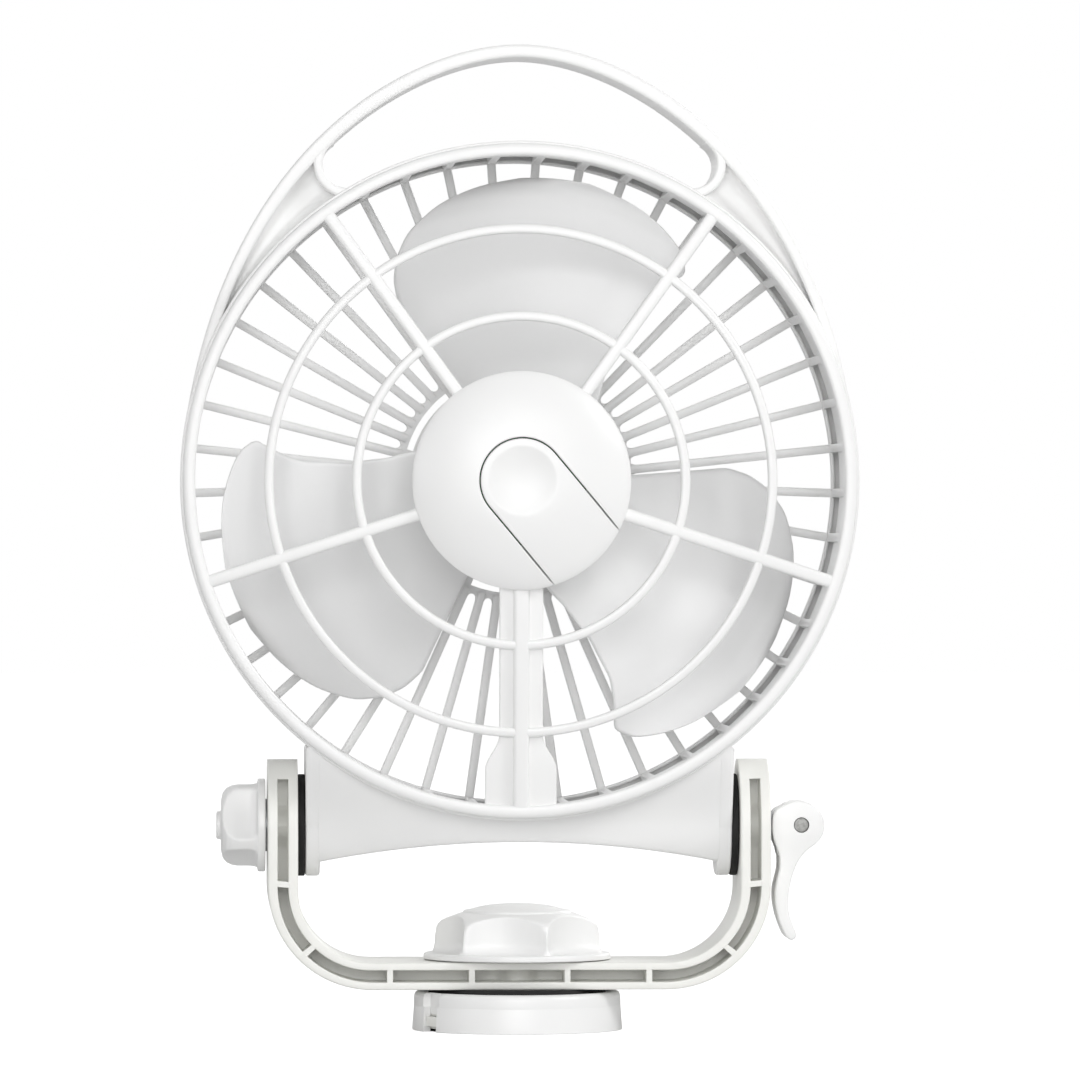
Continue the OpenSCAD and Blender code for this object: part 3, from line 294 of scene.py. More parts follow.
yoke_low, yoke_high = span("yoke")
yoke_out, yoke_z = yoke_high[0], yoke_low[2]
arm_t, bar_h, corner_r, yoke_half_d = 8.0, 7.2, 27.5, 17.5
tilt_z = yoke_high[2] - yoke_half_d
first_pocket, pocket_floor, rib_half, outer_rib_x, inner_rib_x = 5.0, 4.5, 0.8, 34.2, 12.6
boss_r, boss_floor = 5.0, 2.5
arm_wall, bend_wall = 2.6, 2.0
corner_x, corner_z = yoke_out - corner_r, yoke_z + corner_r
inner_r = corner_r - arm_t
inner_z = yoke_z + bar_h + inner_r
mid_r = corner_r - arm_t / 2
arm_s = yoke_high[2] - corner_z
bend_s = arm_s + mid_r * pi / 2
half_s = bend_s + corner_x


def stations(corners):
    """One outline for each place along a path, from corners whose measures are numbers or arrays."""
    measures = np.stack(np.broadcast_arrays(*sum(map(list, corners), [])), -1)
    return measures.reshape(-1, len(corners), 2)


rib_s = [arm_s - rib_half, arm_s + mid_r * pi / 4, half_s - outer_rib_x, half_s - inner_rib_x]
pocket_ends = [first_pocket] + [s + d for s in rib_s for d in (-rib_half, rib_half)]
pocket_ends = np.array(pocket_ends + [2 * half_s - s for s in reversed(pocket_ends)]).reshape(-1, 2)
end_s = yoke_half_d * (1 - np.cos(np.radians(np.linspace(1, 89, 18))))
side_s = np.append(end_s, np.arange(yoke_half_d, half_s, 1.6))
# s is how far round the strap a station is, from one arm's end to the other. A pocket's end wall
# stands between two stations that are 0.08 mm apart.
s = np.unique(np.round(np.concatenate([side_s, 2 * half_s - side_s, (pocket_ends - 0.04).ravel(),
    (pocket_ends + 0.04).ravel()]), 4))
s_half = np.minimum(s, 2 * half_s - s)
bend = np.clip((s_half - arm_s) / mid_r, 0, pi / 2)
x, up_arm = corner_x - np.maximum(s_half - bend_s, 0), 1 - np.minimum(s_half, arm_s) / arm_s
outer, inner = (np.stack([np.where(s > half_s, -1, 1) * (x + r * np.cos(bend)),
    z - r * np.sin(bend) + up_arm * (yoke_high[2] - z)], -1)
    for r, z in ((corner_r, corner_z), (inner_r, inner_z)))
half_depth = np.sqrt(np.maximum(yoke_half_d ** 2 - np.maximum(yoke_half_d - s_half, 0) ** 2, 0.01))
in_pocket = ((s[:, None] > pocket_ends[:, 0]) & (s[:, None] < pocket_ends[:, 1])).any(1)
floor_depth = pocket_floor
for boss_s in (yoke_half_d, half_s):
    boss = np.sqrt(np.maximum(boss_r ** 2 - (s_half - boss_s) ** 2, 0)) + boss_floor
    floor_depth = np.maximum(floor_depth, boss)
floor_depth = np.where(in_pocket, floor_depth, half_depth - 0.02)
thick = np.linalg.norm(inner - outer, axis=1)
wall = arm_wall - (arm_wall - bend_wall) * bend / (pi / 2)
corners = []
for front in (-1, 1):
    across = [0, wall, wall, thick - wall, thick - wall, thick][::-front]
    deep = [half_depth, half_depth, floor_depth, floor_depth, half_depth, half_depth]
    corners += [(w, front * y) for w, y in zip(across, deep)]
section = rounded(stations(corners), [0.55, 0.3, 0.15, 0.15, 0.3, 0.55] * 2, steps=3)
flat = outer[:, None] + section[..., :1] * ((inner - outer) / thick[:, None])[:, None]
grid = np.stack([flat[..., 0], section[..., 1], flat[..., 1]], -1)
place("yoke_strap", skin(grid), abs_warm, "yoke", "yoke", sharp=50)

# ---- Swivel knob ----
# A domed knob with six finger flutes over a thin flange, moulded in white ABS round a brass nut.
# A zinc-plated washer lies under it on the yoke.

# Turned brass: warm yellow, fine rings left by the lathe.
brass = finish("brass_turned", noise(0.35, 3, (1, 1, 0.2)), 0.008, (noise(1.2), "#C5A25A", "#D3B36E"),
    (0.28, 0.36), metallic=1.0)
dress(brass, "swivel_knob_nut")
dress(zinc, "swivel_washer")


def smooth_min(a, b, width):
    """The smaller of two lengths, with the crease between them rounded over about width."""
    low, high = np.minimum(a, b), np.maximum(a, b)
    return low - width * np.log1p(np.exp(-np.maximum(high - low, 0) / width))


def from_edge(r, z, *steps):
    """Corners of a profile, each given by how far it lies inwards of a radius and above a height."""
    return [[r - inwards, z + rise] for inwards, rise in steps]


def fluted(profile, recess, body_r, depth, lip, first_flute, count, half_angle, foot_r, soft):
    """A knob: a profile turned round +Z, its body cut back to a number of flutes, and a recess below.

    A flute is a circle of radius f = (h^2 + d^2) / 2d through two ridges 2h apart, d deep. Its edge is
    at c cos a - sqrt(f^2 - c^2 sin^2 a), c its centre's distance. A quarter circle ends it below.
    """
    half = body_r * sin(radians(half_angle))
    flute_r = (half ** 2 + depth ** 2) / (2 * depth)
    centre = body_r * cos(radians(half_angle)) - depth + flute_r
    angle = np.linspace(0, 360, 240, endpoint=False)
    off = np.radians(from_nearest(angle, first_flute, 360 / count))
    edge = centre * np.cos(off) - np.sqrt(flute_r ** 2 - (centre * np.sin(off)) ** 2)
    corners = np.array(profile, float)
    reach = np.append(0, np.cumsum(np.linalg.norm(np.diff(corners, axis=0), axis=1)))
    at = np.unique(np.append(reach, np.arange(0, reach[-1], 0.35)))
    r, z = (np.interp(at, reach, corners[:, k])[:, None] for k in (0, 1))
    up_to_foot = foot_r - np.clip(z - lip, 0, foot_r)
    edge = edge + foot_r - np.sqrt(foot_r ** 2 - up_to_foot ** 2)
    r = np.where((z >= lip) & (r <= body_r + 0.3), smooth_min(r, edge, soft), r)
    under = np.asarray(recess, float)
    r = np.concatenate([under[:, :1] + 0 * angle, r])
    return skin(at_angle(angle, r, 0, np.concatenate([under[:, 1:], z])), caps=False)


def moved(shell, axes, origin=(0, 0, 0)):
    """A shell with its own x, y and z laid along the given axes, from an origin in millimetres."""
    points, faces = shell
    return points @ axes + origin, faces


knob_low, knob_high = span("swivel_knob")
knob_h, flange_r = knob_high[2] - knob_low[2], knob_high[0]
knob_r, knob_lip, crown_r = 22.8, 1.7, 13.2
knob_outline = [*from_edge(flange_r, 0, (0.35, 0), (0.08, 0.12), (0, 0.45)),
    *from_edge(flange_r, knob_lip, (0, -0.6), (0.25, -0.15), (0.7, 0)),
    *from_edge(knob_r, knob_lip, (0, 0), (0.15, 0.6)),
    *from_edge(knob_r, 0, (0.5, 6), (0.9, 8), (1.5, 9.2), (2.5, 10.1), (4.2, 10.9)),
    *from_edge(crown_r, 0, (-2.2, 12.1), (-1.4, 12.25), (-1.1, 12.7), (-0.6, 12.95), (1, 13.2)),
    *from_edge(crown_r, knob_h, (2.5, -0.95), (4.5, -0.5), (8, -0.1), (10.5, 0), (crown_r, 0))]
under_knob = [[0, 12.6], [3.36, 12.6], [3.36, 6.4], [5.95, 6.4], [5.95, 1], [8.7, 0.95], [8.7, 0]]
knob = fluted(knob_outline, under_knob, knob_r - 0.1, 2.9, knob_lip, first_flute=-101.5, count=6,
    half_angle=30, foot_r=2.8, soft=0.25)
place("swivel_knob_grip", moved(knob, np.eye(3), [0, 0, knob_low[2]]), abs_white, "swivel_knob",
    "swivel_knob")

# ---- Tilt knob ----
# A smaller knob on the left with four broad flutes, white ABS. Its stud is moulded in and carries
# a zinc-plated washer.

to_left = [[0, 0, 1], [0, 1, 0], [-1, 0, 0]]
to_right = [[0, 0, -1], [0, 1, 0], [1, 0, 0]]
small_low, small_high = span("tilt_knob")
small_l, small_flange = small_high[0] - small_low[0], (small_high[2] - small_low[2]) / 2
small_r, small_lip = 11.7, 2.1
small_body = small_l - 1.2
small_outline = [*from_edge(small_flange, 0, (0.4, 0), (0.1, 0.1), (0, 0.45)),
    *from_edge(small_flange, small_lip, (0, -0.5), (0.12, -0.12), (0.5, 0)),
    *from_edge(small_r, small_lip, (0, 0), (0.05, 0.5)),
    *from_edge(small_r, small_body, (0.1, -4.4), (0.5, -2.9), (1.5, -1.5), (3.1, -0.5), (5, -0.05)),
    [3.95, small_body], [3.7, small_body + 0.2], [3.68, small_l - 0.3],
    [3.4, small_l - 0.05], [3.1, small_l], [0, small_l]]
under_small = [[0, 8], [3.02, 8], [3.02, 0.8], [7.2, 0.75], [7.2, 0]]
small = fluted(small_outline, under_small, small_r - 0.05, 0.75, small_lip, first_flute=-70, count=4,
    half_angle=38, foot_r=2.2, soft=0.2)
place("tilt_knob_grip", moved(small, to_left, [small_high[0], 0, tilt_z]), abs_white, "tilt_knob",
    "tilt_knob")
dress(zinc, "tilt_washer", "tilt_bolt")

# ---- Rubber pads at the ears ----
# A black rubber ring between each ear and the yoke gives the tilt its friction.

ears_x, pad_t = span("tilt_pads")[1][0], 1.8
ring = turned(rounded(box(3.2, 13.5, 0, pad_t), 0.35))
place("tilt_pad_rings", join(moved(ring, to_right, [ears_x - pad_t, 0, tilt_z]),
    moved(ring, to_left, [pad_t - ears_x, 0, tilt_z])), rubber, "head", "tilt_pads")

# ---- Cam lever, pin and rod ----
# The quick lever on the right, white ABS: two cheeks round a fork, and a curved finger tail that is
# filled between them. It turns on a steel pin through the flattened eye of a threaded rod, and
# presses on a thin black acetal washer.

# Acetal or ABS, black: clean dark plastic with a little gloss, and no grain to speak of.
black_plastic = finish("abs_black_satin", noise(0.6), 0.01, (noise(8), "#1B1B1C", "#262627"),
    (0.35, 0.48), ior=1.5)
# Rolled steel pin with end faces left from the cropping: darker and rougher than the plated parts.
pin_steel = finish("steel_pin_cropped", noise(0.5, 5), 0.05, (noise(0.7, 3), "#6A6A69", "#B9B9B6"),
    (0.4, 0.6), metallic=1.0)


def flowing(points):
    """A closed curve through points: uniform Catmull-Rom, four pieces between each pair."""
    p, before, after, beyond = (np.roll(points, k, 0)[:, None] for k in (0, 1, -1, -2))
    t = (np.arange(4) / 4)[None, :, None]
    curve = 0.5 * (2 * p + (after - before) * t + (2 * before - 5 * p + 4 * after - beyond) * t ** 2
        + (3 * p - before - 3 * after + beyond) * t ** 3)
    return curve.reshape(-1, 2)


def slab(outline, low, high, edge, hole=None):
    """A plate with a closed outline in x and y, from z low to high, its rims rounded by quarter circles.
    A hole goes straight through it, and the faces round it are filled with triangles."""
    before, after = np.roll(outline, 1, 0), np.roll(outline, -1, 0)
    area = np.sum(outline[:, 0] * after[:, 1] - outline[:, 1] * after[:, 0])
    normal = np.stack([(after - before)[:, 1], (before - after)[:, 0]], 1) * np.sign(area)
    normal /= np.linalg.norm(normal, axis=1, keepdims=True) + 1e-9
    bend = np.linspace(0, pi / 2, 5)
    inset, rise = edge * (1 - np.sin(bend)), edge * (1 - np.cos(bend))
    insets = np.concatenate([inset, inset[::-1]])[:, None, None]
    heights = np.concatenate([low + rise, high - rise[::-1]])[:, None]
    flat = outline[None] - insets * normal[None]
    points, faces = skin(at_angle(0, flat[..., 0], flat[..., 1], heights), caps=hole is None)
    if hole is None:
        return points, faces
    n, m, first = len(outline), len(hole), len(points)
    points = np.concatenate([points] + [np.column_stack([hole, np.full(m, z)]) for z in (low, high)])
    for rim, own in ((0, first), (first - n, first + m)):
        ids = np.concatenate([np.arange(rim, rim + n), np.arange(own, own + m)])
        loops = [[Vector(p) for p in points[part]] for part in (ids[:n], ids[n:])]
        faces += [[int(ids[k]) for k in triangle] for triangle in tessellate_polygon(loops)]
    k = first + np.arange(m)
    after = first + (np.arange(m) + 1) % m
    faces += np.stack([k, after, m + after, m + k], 1).tolist()
    return points, faces


pin_low, pin_high = span("cam_pin")
pin_x, pin_r = (pin_low[0] + pin_high[0]) / 2, 2.0
lever_half, fork_half, cheek_in = span("cam_lever")[1][1], 2.6, 4.7
tail = [[1.2, -7], [-1, -10], [-2.5, -14], [-3.3, -18], [-3.4, -22.5], [-2.6, -25.6], [-1.5, -28.4],
    [-1.5, -29.8], [-2.6, -30.5], [-3.6, -30.1], [-4.6, -28.8], [-6.1, -25], [-7, -21],
    [-7.1, -17.5], [-6.7, -15], [-5.9, -11.5]]
head = [[-5.9, -8.2], [-6.6, -5.8], [-7.5, -3.2], [-7.72, 0], [-7.5, 2.6], [-6.6, 4.1], [-4.8, 5.1],
    [-2.9, 6.05], [-0.6, 6.4], [2.1, 5.85], [4.5, 4.2], [5.9, 1.7], [6.1, -1.1], [5.3, -3.3],
    [3.6, -5.2]]
filler_front = [[-1.4, -9.2], [-0.9, -7.6], [1, -6.6]]
filler_back = [[-4.1, -28.4], [-5.6, -25], [-6.5, -21], [-6.6, -17.5], [-6.2, -15], [-5.4, -11.5],
    [-5.3, -8.6]]
cheek = flowing(head + tail)
block = flowing(head + [[1.2, -7], [-1.2, -8.2], [-3.8, -8]])
filler = flowing(filler_front + tail[1:9] + filler_back)
pin_hole = at_angle(np.linspace(0, 360, 32, endpoint=False), pin_r + 0.06, 0, 0)[:, :2]
shapes = [slab(outline, *reach, edge, hole=pin_hole)
    for outline, near, far, edge in ((cheek, cheek_in, lever_half, 0.55),
    (block, fork_half, cheek_in + 0.2, 0.1)) for reach in ((near, far), (-far, -near))]
shapes.append(slab(filler, -cheek_in - 0.6, cheek_in + 0.6, 0.2))
front_on = [[1, 0, 0], [0, 0, 1], [0, -1, 0]]
place("cam_lever_grip", moved(join(*shapes), front_on, [pin_x, 0, tilt_z]), abs_white, "cam_lever",
    "cam_lever")
pin = turned(rounded(box(0, pin_r, 0, pin_high[1] - pin_low[1]), [0, 0.35, 0.35, 0]), turns=40)
place("cam_pin_steel", moved(pin, front_on, [pin_x, pin_high[1], tilt_z]), pin_steel, "cam_rod",
    "cam_pin")
dress(zinc, "cam_rod")
dress(black_plastic, "cam_washer")

# ---- Housing: shroud ----
# One large moulding in white ABS: a deep round shroud with short ribs inside its wall and shallow
# pockets behind them, the carry handle over it, and the saddle with two ears under it.

guard_low, guard_high = span("front_guard")
fan_z = (guard_low[2] + guard_high[2]) / 2
ring_out = (guard_high[0] - guard_low[0]) / 2
ring_r, ring_face = ring_out - 3.3, 25.0
shell_in, shell_out, shell_back, lip_back = ring_r + 1.4, ring_r + 4.0, -27.0, 21.5
pocket_in, pocket_front = 1.3, -15.0
rib_n, rib_w, rib_front, rib_back = 45, 2.3, lip_back - 4.2, -23.5


def on_fan(*shells):
    """Shells made round +Z, as one, turned on to the fan axis: their +Z looks out of the front."""
    return moved(join(*shells), front_on, [0, 0, fan_z])


rib_angles = -90 + np.arange(rib_n) * 360 / rib_n
shroud = turned(rounded([[shell_in + pocket_in, shell_back], [shell_out, shell_back], [shell_out, lip_back],
    [shell_in, lip_back], [shell_in, pocket_front + pocket_in],
    [shell_in + pocket_in, pocket_front]], [0.3, 1.0, 0.5, 0.2, 0.3, 0.3]), turns=256)
finger = rounded(box(ring_r + 0.1, shell_in + 0.7, -rib_w / 2, rib_w / 2), 0.3, 2)
fingers = [skin(at_angle(a, *finger.T, [[rib_back], [rib_front]])) for a in rib_angles]

# ---- Housing: handle ----
# The strap arches over the top and runs out into the shroud on both sides. A round wall closes each
# end of the hand opening, and a sunk web joins strap, wall and shroud.

handle_top = span("housing")[1][2] - fan_z
strap_t, handle_end = 3.4, 82
handle_front, handle_back = 19.0, -5.0
web_in, web_floor, web_back = shell_out - 0.7, 13.5, 6.8
wall_t, end_at = 2.5, 28.6


def arch(top, r, flat, reach):
    """Cubic curve from the top of the handle to a tangent run-in on a circle of radius r, both sides."""
    run_in, end = (at_angle(90 - handle_end, r, back, 0)[:2] for back in (reach, 0))
    p = np.array([[0, top], [flat, top], run_in, end])
    t = np.linspace(0, 1, 48)[:, None]
    half = (1 - t) ** 3 * p[0] + 3 * (1 - t) ** 2 * t * p[1] + 3 * (1 - t) * t ** 2 * p[2] + t ** 3 * p[3]
    return np.concatenate([half[:0:-1] * [-1, 1], half])


def leaf(angle, r, across, front, back, whole=False):
    """A closed shell between two sheets of points that differ in height alone."""
    top, bottom = (at_angle(angle, r, across, height) for height in (front, back))
    return skin(np.concatenate([top, bottom[:, ::-1]], 1), whole)


arch_out = arch(handle_top, shell_out - 0.1, 28, 78)
arch_in = arch(handle_top - strap_t, shell_out - strap_t + 0.6, 26, 74)
arch_in *= np.maximum(1, (shell_out - 1.2) / np.linalg.norm(arch_in, axis=1, keepdims=True))
strap_thick = np.linalg.norm(arch_out - arch_in, axis=1)
strap_box = rounded(stations(box(0, strap_thick, handle_back, handle_front)), [0.8, 0.8, 1.0, 0.8])
towards = (arch_out - arch_in) / strap_thick[:, None]
strap = skin(np.concatenate([arch_in[:, None] + strap_box[..., :1] * towards[:, None],
    strap_box[..., 1:]], -1))

# each end wall's circle is the largest one between ring and strap in the direction end_at
radius = np.linspace(5, 9, 401)
to_strap = arch_in - at_angle(90 - end_at, ring_out - 0.15 + radius[:, None], 0, 0)[..., :2]
strap_gap = np.linalg.norm(to_strap, axis=-1)
best = np.argmin(np.abs(strap_gap.min(1) - radius))
wall_r, end_reach = radius[best] - 0.1, ring_out - 0.15 + radius[best]
touch = to_strap[best, np.argmin(strap_gap[best])]
touch_turn = from_nearest(degrees(atan2(touch[1], touch[0])), -end_at)
wall_box = rounded(box(wall_r, wall_r + wall_t, handle_back + 0.05, handle_front - 0.08), 0.8)
# the web's front is a valley: floor + rise * |2 w - 1| ^ 3.5 across it
half_in = arch_in[len(arch_in) // 2:]
in_angle = np.degrees(np.arctan2(half_in[:, 0], half_in[:, 1]))
in_reach = np.linalg.norm(half_in, axis=1)
w = np.linspace(0, 1, 21)
at_wall = web_in + (np.interp(end_at + 2, in_angle, in_reach) + 0.9 - web_in) * w
beside = np.sqrt(np.maximum((wall_r + 1) ** 2 - (at_wall - end_reach) ** 2, 4))
first = end_at + np.degrees(beside / end_reach)
last = in_angle[np.argmax(in_reach < shell_out + 0.1)]
angle = first + (last - first) * np.linspace(0, 1, 60)[:, None] ** 1.3
r = web_in + (np.interp(angle, in_angle, in_reach) + 0.9 - web_in) * w
front = web_floor + (handle_front - 0.6 - web_floor) * np.abs(2 * w - 1) ** 3.5
web_edges = []
for hand in (-1, 1):
    end_wall, faces = turned(wall_box, *sorted([90 - hand * (202 + end_at),
        90 - hand * (78 + end_at - touch_turn)]), turns=56)
    web_edges.append((end_wall + at_angle(90 - hand * end_at, end_reach, 0, 0), faces))
    web_edges.append(leaf(90 - hand * angle, r, 0, front, web_back))

# ---- Housing: saddle and ears ----
# The saddle hangs under the shroud: its front flows from the shroud's edge back to the ears'
# roundness, its lower edge is a shallow arch, and shallow beds behind take the two covers.

ear_x, ear_t, ear_r = ears_x - pad_t - 0.05, 3.9, 13.5
saddle_x, saddle_mid, saddle_end = ear_x - ear_t, 4.3, 9.5
sag_r = (saddle_x ** 2 + (saddle_end - saddle_mid) ** 2) / (2 * (saddle_end - saddle_mid))
bed_edges = (16.0, saddle_x)
bed_lip, bed_depth = 2.4, 2.1


def s_curve(at, start, length):
    """0 before start, 1 beyond its length, and t^2 (3 - 2 t) in between."""
    t = np.clip((at - start) / length, 0, 1)
    return t ** 2 * (3 - 2 * t)


def saddle_front(z):
    """How far the saddle stands ahead of the tilt axis: a circle below it, an S-curve growing above."""
    below = np.sqrt(np.maximum(ear_r ** 2 - np.minimum(z - tilt_z, 0) ** 2, 0))
    return below + (lip_back - ear_r) * s_curve(z, tilt_z - 3, 25)


def saddle_under(x):
    """Height of the saddle's lower edge: a circle of radius sag_r, highest in the middle."""
    return tilt_z - saddle_mid - sag_r + np.sqrt(sag_r ** 2 - x ** 2)


def under_shroud(x, r):
    """Height of the lower half of a circle of radius r round the fan axis."""
    return fan_z - np.sqrt(r ** 2 - x ** 2)


x = np.unique(np.round(np.concatenate([np.linspace(-saddle_x - 0.4, saddle_x + 0.4, 71)]
    + [[s * e - 0.03, s * e + 0.03] for s in (-1, 1) for e in bed_edges]), 4))
top, bottom = under_shroud(x, web_in), saddle_under(x)
z_front = (top + (bottom + 1.6 - top) * np.linspace(0, 1, 22)[:, None]).T
front = np.stack([-saddle_front(z_front), z_front], -1)
foot_front = np.stack([-saddle_front(bottom), bottom], -1)
foot_back = foot_front * [-1, 1]
in_bed = (np.abs(x) > bed_edges[0]) & (np.abs(x) < bed_edges[1])
back_z = np.stack([bottom + 1.6, bottom + bed_lip, bottom + bed_lip + 0.02, top - bed_lip - 0.02,
    top - bed_lip, top], 1)
back_y = np.minimum(saddle_front(np.minimum(back_z, tilt_z)), ear_r)
back_y[:, 2:4] = np.where(in_bed[:, None], ear_r - bed_depth, back_y[:, 2:4])
back = np.stack([back_y, back_z], -1)
loop = np.concatenate([front, corner(front[:, -1], foot_front, foot_back, 1.5),
    corner(foot_front, foot_back, back[:, 0], 1.0), back], 1)
saddle = skin(at_angle(0, x[:, None], loop[..., 0], loop[..., 1]))

round_end = at_angle(np.linspace(180, 360, 37), ear_r, 0, 0)[:, :2] + [0, tilt_z]
ear_top = under_shroud(ear_x - ear_t / 2, web_in)
z_side = np.linspace(ear_top, tilt_z + 1, 14)
ear_outline = np.concatenate([round_end, [[ear_r, ear_top]], np.stack([-saddle_front(z_side), z_side], 1)])
upright = [[0, 1, 0], [0, 0, 1], [1, 0, 0]]
ears = [moved(slab(ear_outline, low, low + ear_t, 0.8), upright) for low in (-ear_x, saddle_x)]
place("housing_shell", join(on_fan(shroud, strap, *fingers, *web_edges), saddle, *ears),
    abs_white, "head", "housing", sharp=42)

# ---- Saddle covers and their screws ----
# Two flat covers close the saddle at the back, each held by a pan-head screw with a cross recess.


def screw(head_r, head_h, shank_r, shank_l):
    """A pan-head screw on z = 0, shank below: its domed top is lowered inside a cross of two bars."""
    angle = np.linspace(0, 360, 48, endpoint=False)
    share = np.array([0, 0.12, 0.24, 0.36, 0.48, 0.54, 0.6, 0.66, 0.74, 0.84, 0.93, 0.98])[:, None]
    r = head_r * share
    u, v = np.abs(r * np.cos(np.radians(angle))), np.abs(r * np.sin(np.radians(angle)))
    arm = np.minimum(np.maximum(u / 0.55, v / 0.11), np.maximum(u / 0.11, v / 0.55))
    sunk = np.clip(1.5 - arm / head_r, 0, 1) * 0.55 * head_h
    top_z = head_h * (1 - 0.3 * share ** 2) - sunk
    lower = np.array([[head_r, 0.55 * head_h], [head_r, 0.12 * head_h], [0.97 * head_r, 0],
        [shank_r, 0], [shank_r, shank_r - shank_l], [0.02, -shank_l]])
    r = np.concatenate([r, lower[:, :1]])
    return skin(at_angle(angle, r, 0, np.concatenate([top_z, lower[:, 1:] + 0 * angle])))


cover_x = np.linspace(bed_edges[0] + 0.2, bed_edges[1] - 0.2, 30)
cover_z = np.append(saddle_under(cover_x) + bed_lip + 0.25, under_shroud(cover_x, shell_out + 3.1)[::-1])
cover_outline = np.stack([np.append(cover_x, cover_x[::-1]), cover_z], 1)
covers_low, covers_high = span("saddle_covers")
covers = [moved(slab(cover_outline * [s, 1], -covers_high[1], -covers_low[1], 0.3), front_on)
    for s in (-1, 1)]
place("saddle_cover_plates", join(*covers), abs_white, "head", "saddle_covers")
bolts_low, bolts_high = span("saddle_screws")
head_r, head_h = 2.8, 1.6
bolts = [moved(screw(head_r, head_h, 1.5, 12), [[-1, 0, 0], [0, 0, 1], [0, 1, 0]],
    [s * (bolts_high[0] - head_r), bolts_high[1] - head_h, (bolts_low[2] + bolts_high[2]) / 2])
    for s in (-1, 1)]
place("saddle_screw_pair", join(*bolts), zinc, "head", "saddle_screws")
dress(zinc, "ear_nuts")

# ---- Rear guard ----
# Moulded in white ABS: forty-five ribs between a hoop and a plate with six arc slots, a seat for the
# motor on the plate, and a strut at the bottom with a channel for the switch lead.

plate_r, plate_t, plate_back, rib_d = 32.0, 2.6, shell_back, 3.4
seat_r, seat_t, in_r, slot_in, slot_out, slot_half = 18.2, 2.0, 8.0, 28.2, 29.9, 1.15
strut_half, strut_foot_half, channel_half, channel_d = 3.4, 6.0, 0.9, 0.42


def pierced(top, bottom, keep):
    """A plate over a grid, round in its second way, with only the kept cells, and walls where they end."""
    nu, nv = top.shape[:2]

    def quads(cells, *corners):
        i, j = np.nonzero(cells)
        return np.stack([(i + di) * nv + (j + dj) % nv + sheet * nu * nv for di, dj, sheet in corners], 1)

    padded = np.pad(keep, ((1, 1), (0, 0)))
    faces = [quads(keep, (0, 0, 0), (1, 0, 0), (1, 1, 0), (0, 1, 0)),
        quads(keep, (0, 0, 1), (0, 1, 1), (1, 1, 1), (1, 0, 1)),
        quads(padded[1:] != padded[:-1], (0, 0, 0), (0, 1, 0), (0, 1, 1), (0, 0, 1)),
        quads(keep != np.roll(keep, 1, 1), (0, 0, 0), (1, 0, 0), (1, 0, 1), (0, 0, 1))]
    return np.concatenate([top.reshape(-1, 3), bottom.reshape(-1, 3)]), np.concatenate(faces).tolist()


# the plate's edge between two ribs is hollowed by a half circle: r = r0 - sqrt(w^2 - s^2)
angle = np.arange(rib_n * 16) * 360 / (rib_n * 16) - 90
off_mm = np.radians(from_nearest(angle, -90 + 180 / rib_n, 360 / rib_n)) * (plate_r + 1)
edge_r = plate_r + slot_half - np.sqrt(np.maximum(slot_half ** 2 - off_mm ** 2, 0))
radii = np.stack(np.broadcast_arrays(in_r, 12, seat_r + 3, slot_in, slot_out, edge_r - 0.45,
    edge_r - 0.12, edge_r))
drop = np.array([0, 0, 0, 0, 0, 0, 0.12, 0.45])[:, None]
keep = np.ones((len(radii) - 1, len(angle)), bool)
# the fourth ring of cells holds the six slots, 60 degrees apart, and is whole where the strut passes
keep[3] = (np.abs(from_nearest(angle, 25, 60)) > 17.5) | (np.abs(from_nearest(angle, -90)) < 7)
plate = pierced(at_angle(angle, radii, 0, plate_back + plate_t - drop),
    at_angle(angle, radii, 0, plate_back + drop), keep)
rib = rounded(box(-rib_w / 2, rib_w / 2, plate_back + 0.08, plate_back + rib_d - 0.08), 0.5, 2)
ribs = [skin(at_angle(a, [[plate_r - 1], [ring_r + 0.6]], *rib.T)) for a in rib_angles[1:]]
hoop_r = shell_in + pocket_in - 0.05
hoop = turned(rounded([[ring_r, plate_back], [hoop_r, plate_back], [hoop_r, plate_back + 1],
    [ring_r + 0.9, plate_back + 1.2], [ring_r + 0.9, plate_back + rib_d],
    [ring_r, plate_back + rib_d]], [0.35, 0.2, 0.2, 0.2, 0.3, 0.3]), turns=256)
seat = turned(rounded(box(seat_r, seat_r + seat_t, plate_back + 0.5, plate_back + 10), 0.4))
reach = np.linspace(plate_r - 2, ring_r + 0.5, 40)
half = strut_half + (strut_foot_half - strut_half) * s_curve(reach, ring_r - 14, 6)
front_z, back_z = plate_back + rib_d + 0.05, plate_back - 0.03
strut_box = rounded(stations([(-half, back_z), (half, back_z), (half, front_z), (channel_half, front_z),
    (channel_half, front_z - channel_d), (-channel_half, front_z - channel_d),
    (-channel_half, front_z), (-half, front_z)]), [0.5, 0.5, 0.7, 0.45, 0.25, 0.25, 0.45, 0.7])
strut = skin(at_angle(-90, reach[:, None], strut_box[..., 0], strut_box[..., 1]))
place("rear_guard_grille", on_fan(plate, hoop, seat, strut, *ribs), abs_white, "head",
    "rear_guard")

# ---- Front guard ----
# Moulded in white ABS: a rounded ring that clips over the shroud, five spokes and two circles that
# bulge forwards to the hub's seat. A flat web behind the foot spoke covers the switch lead.

hub_r, grille_rise, bar_t = 28.7, 5.0, 3.0
seat_z = ring_face + grille_rise
dome_centre = (ring_r ** 2 - hub_r ** 2 - grille_rise ** 2) / (2 * grille_rise)
dome_sphere = hypot(ring_r, dome_centre)
spoke_n, spoke_w, foot_spoke_w, circle_w, circle_radii = 5, 3.4, 4.2, 2.5, (43.2, 66.2)
cover_half, cover_foot_half, cover_back, cover_t, spread_from, spread_over = 5.75, 9.45, 1.7, 1.4, 67, 9


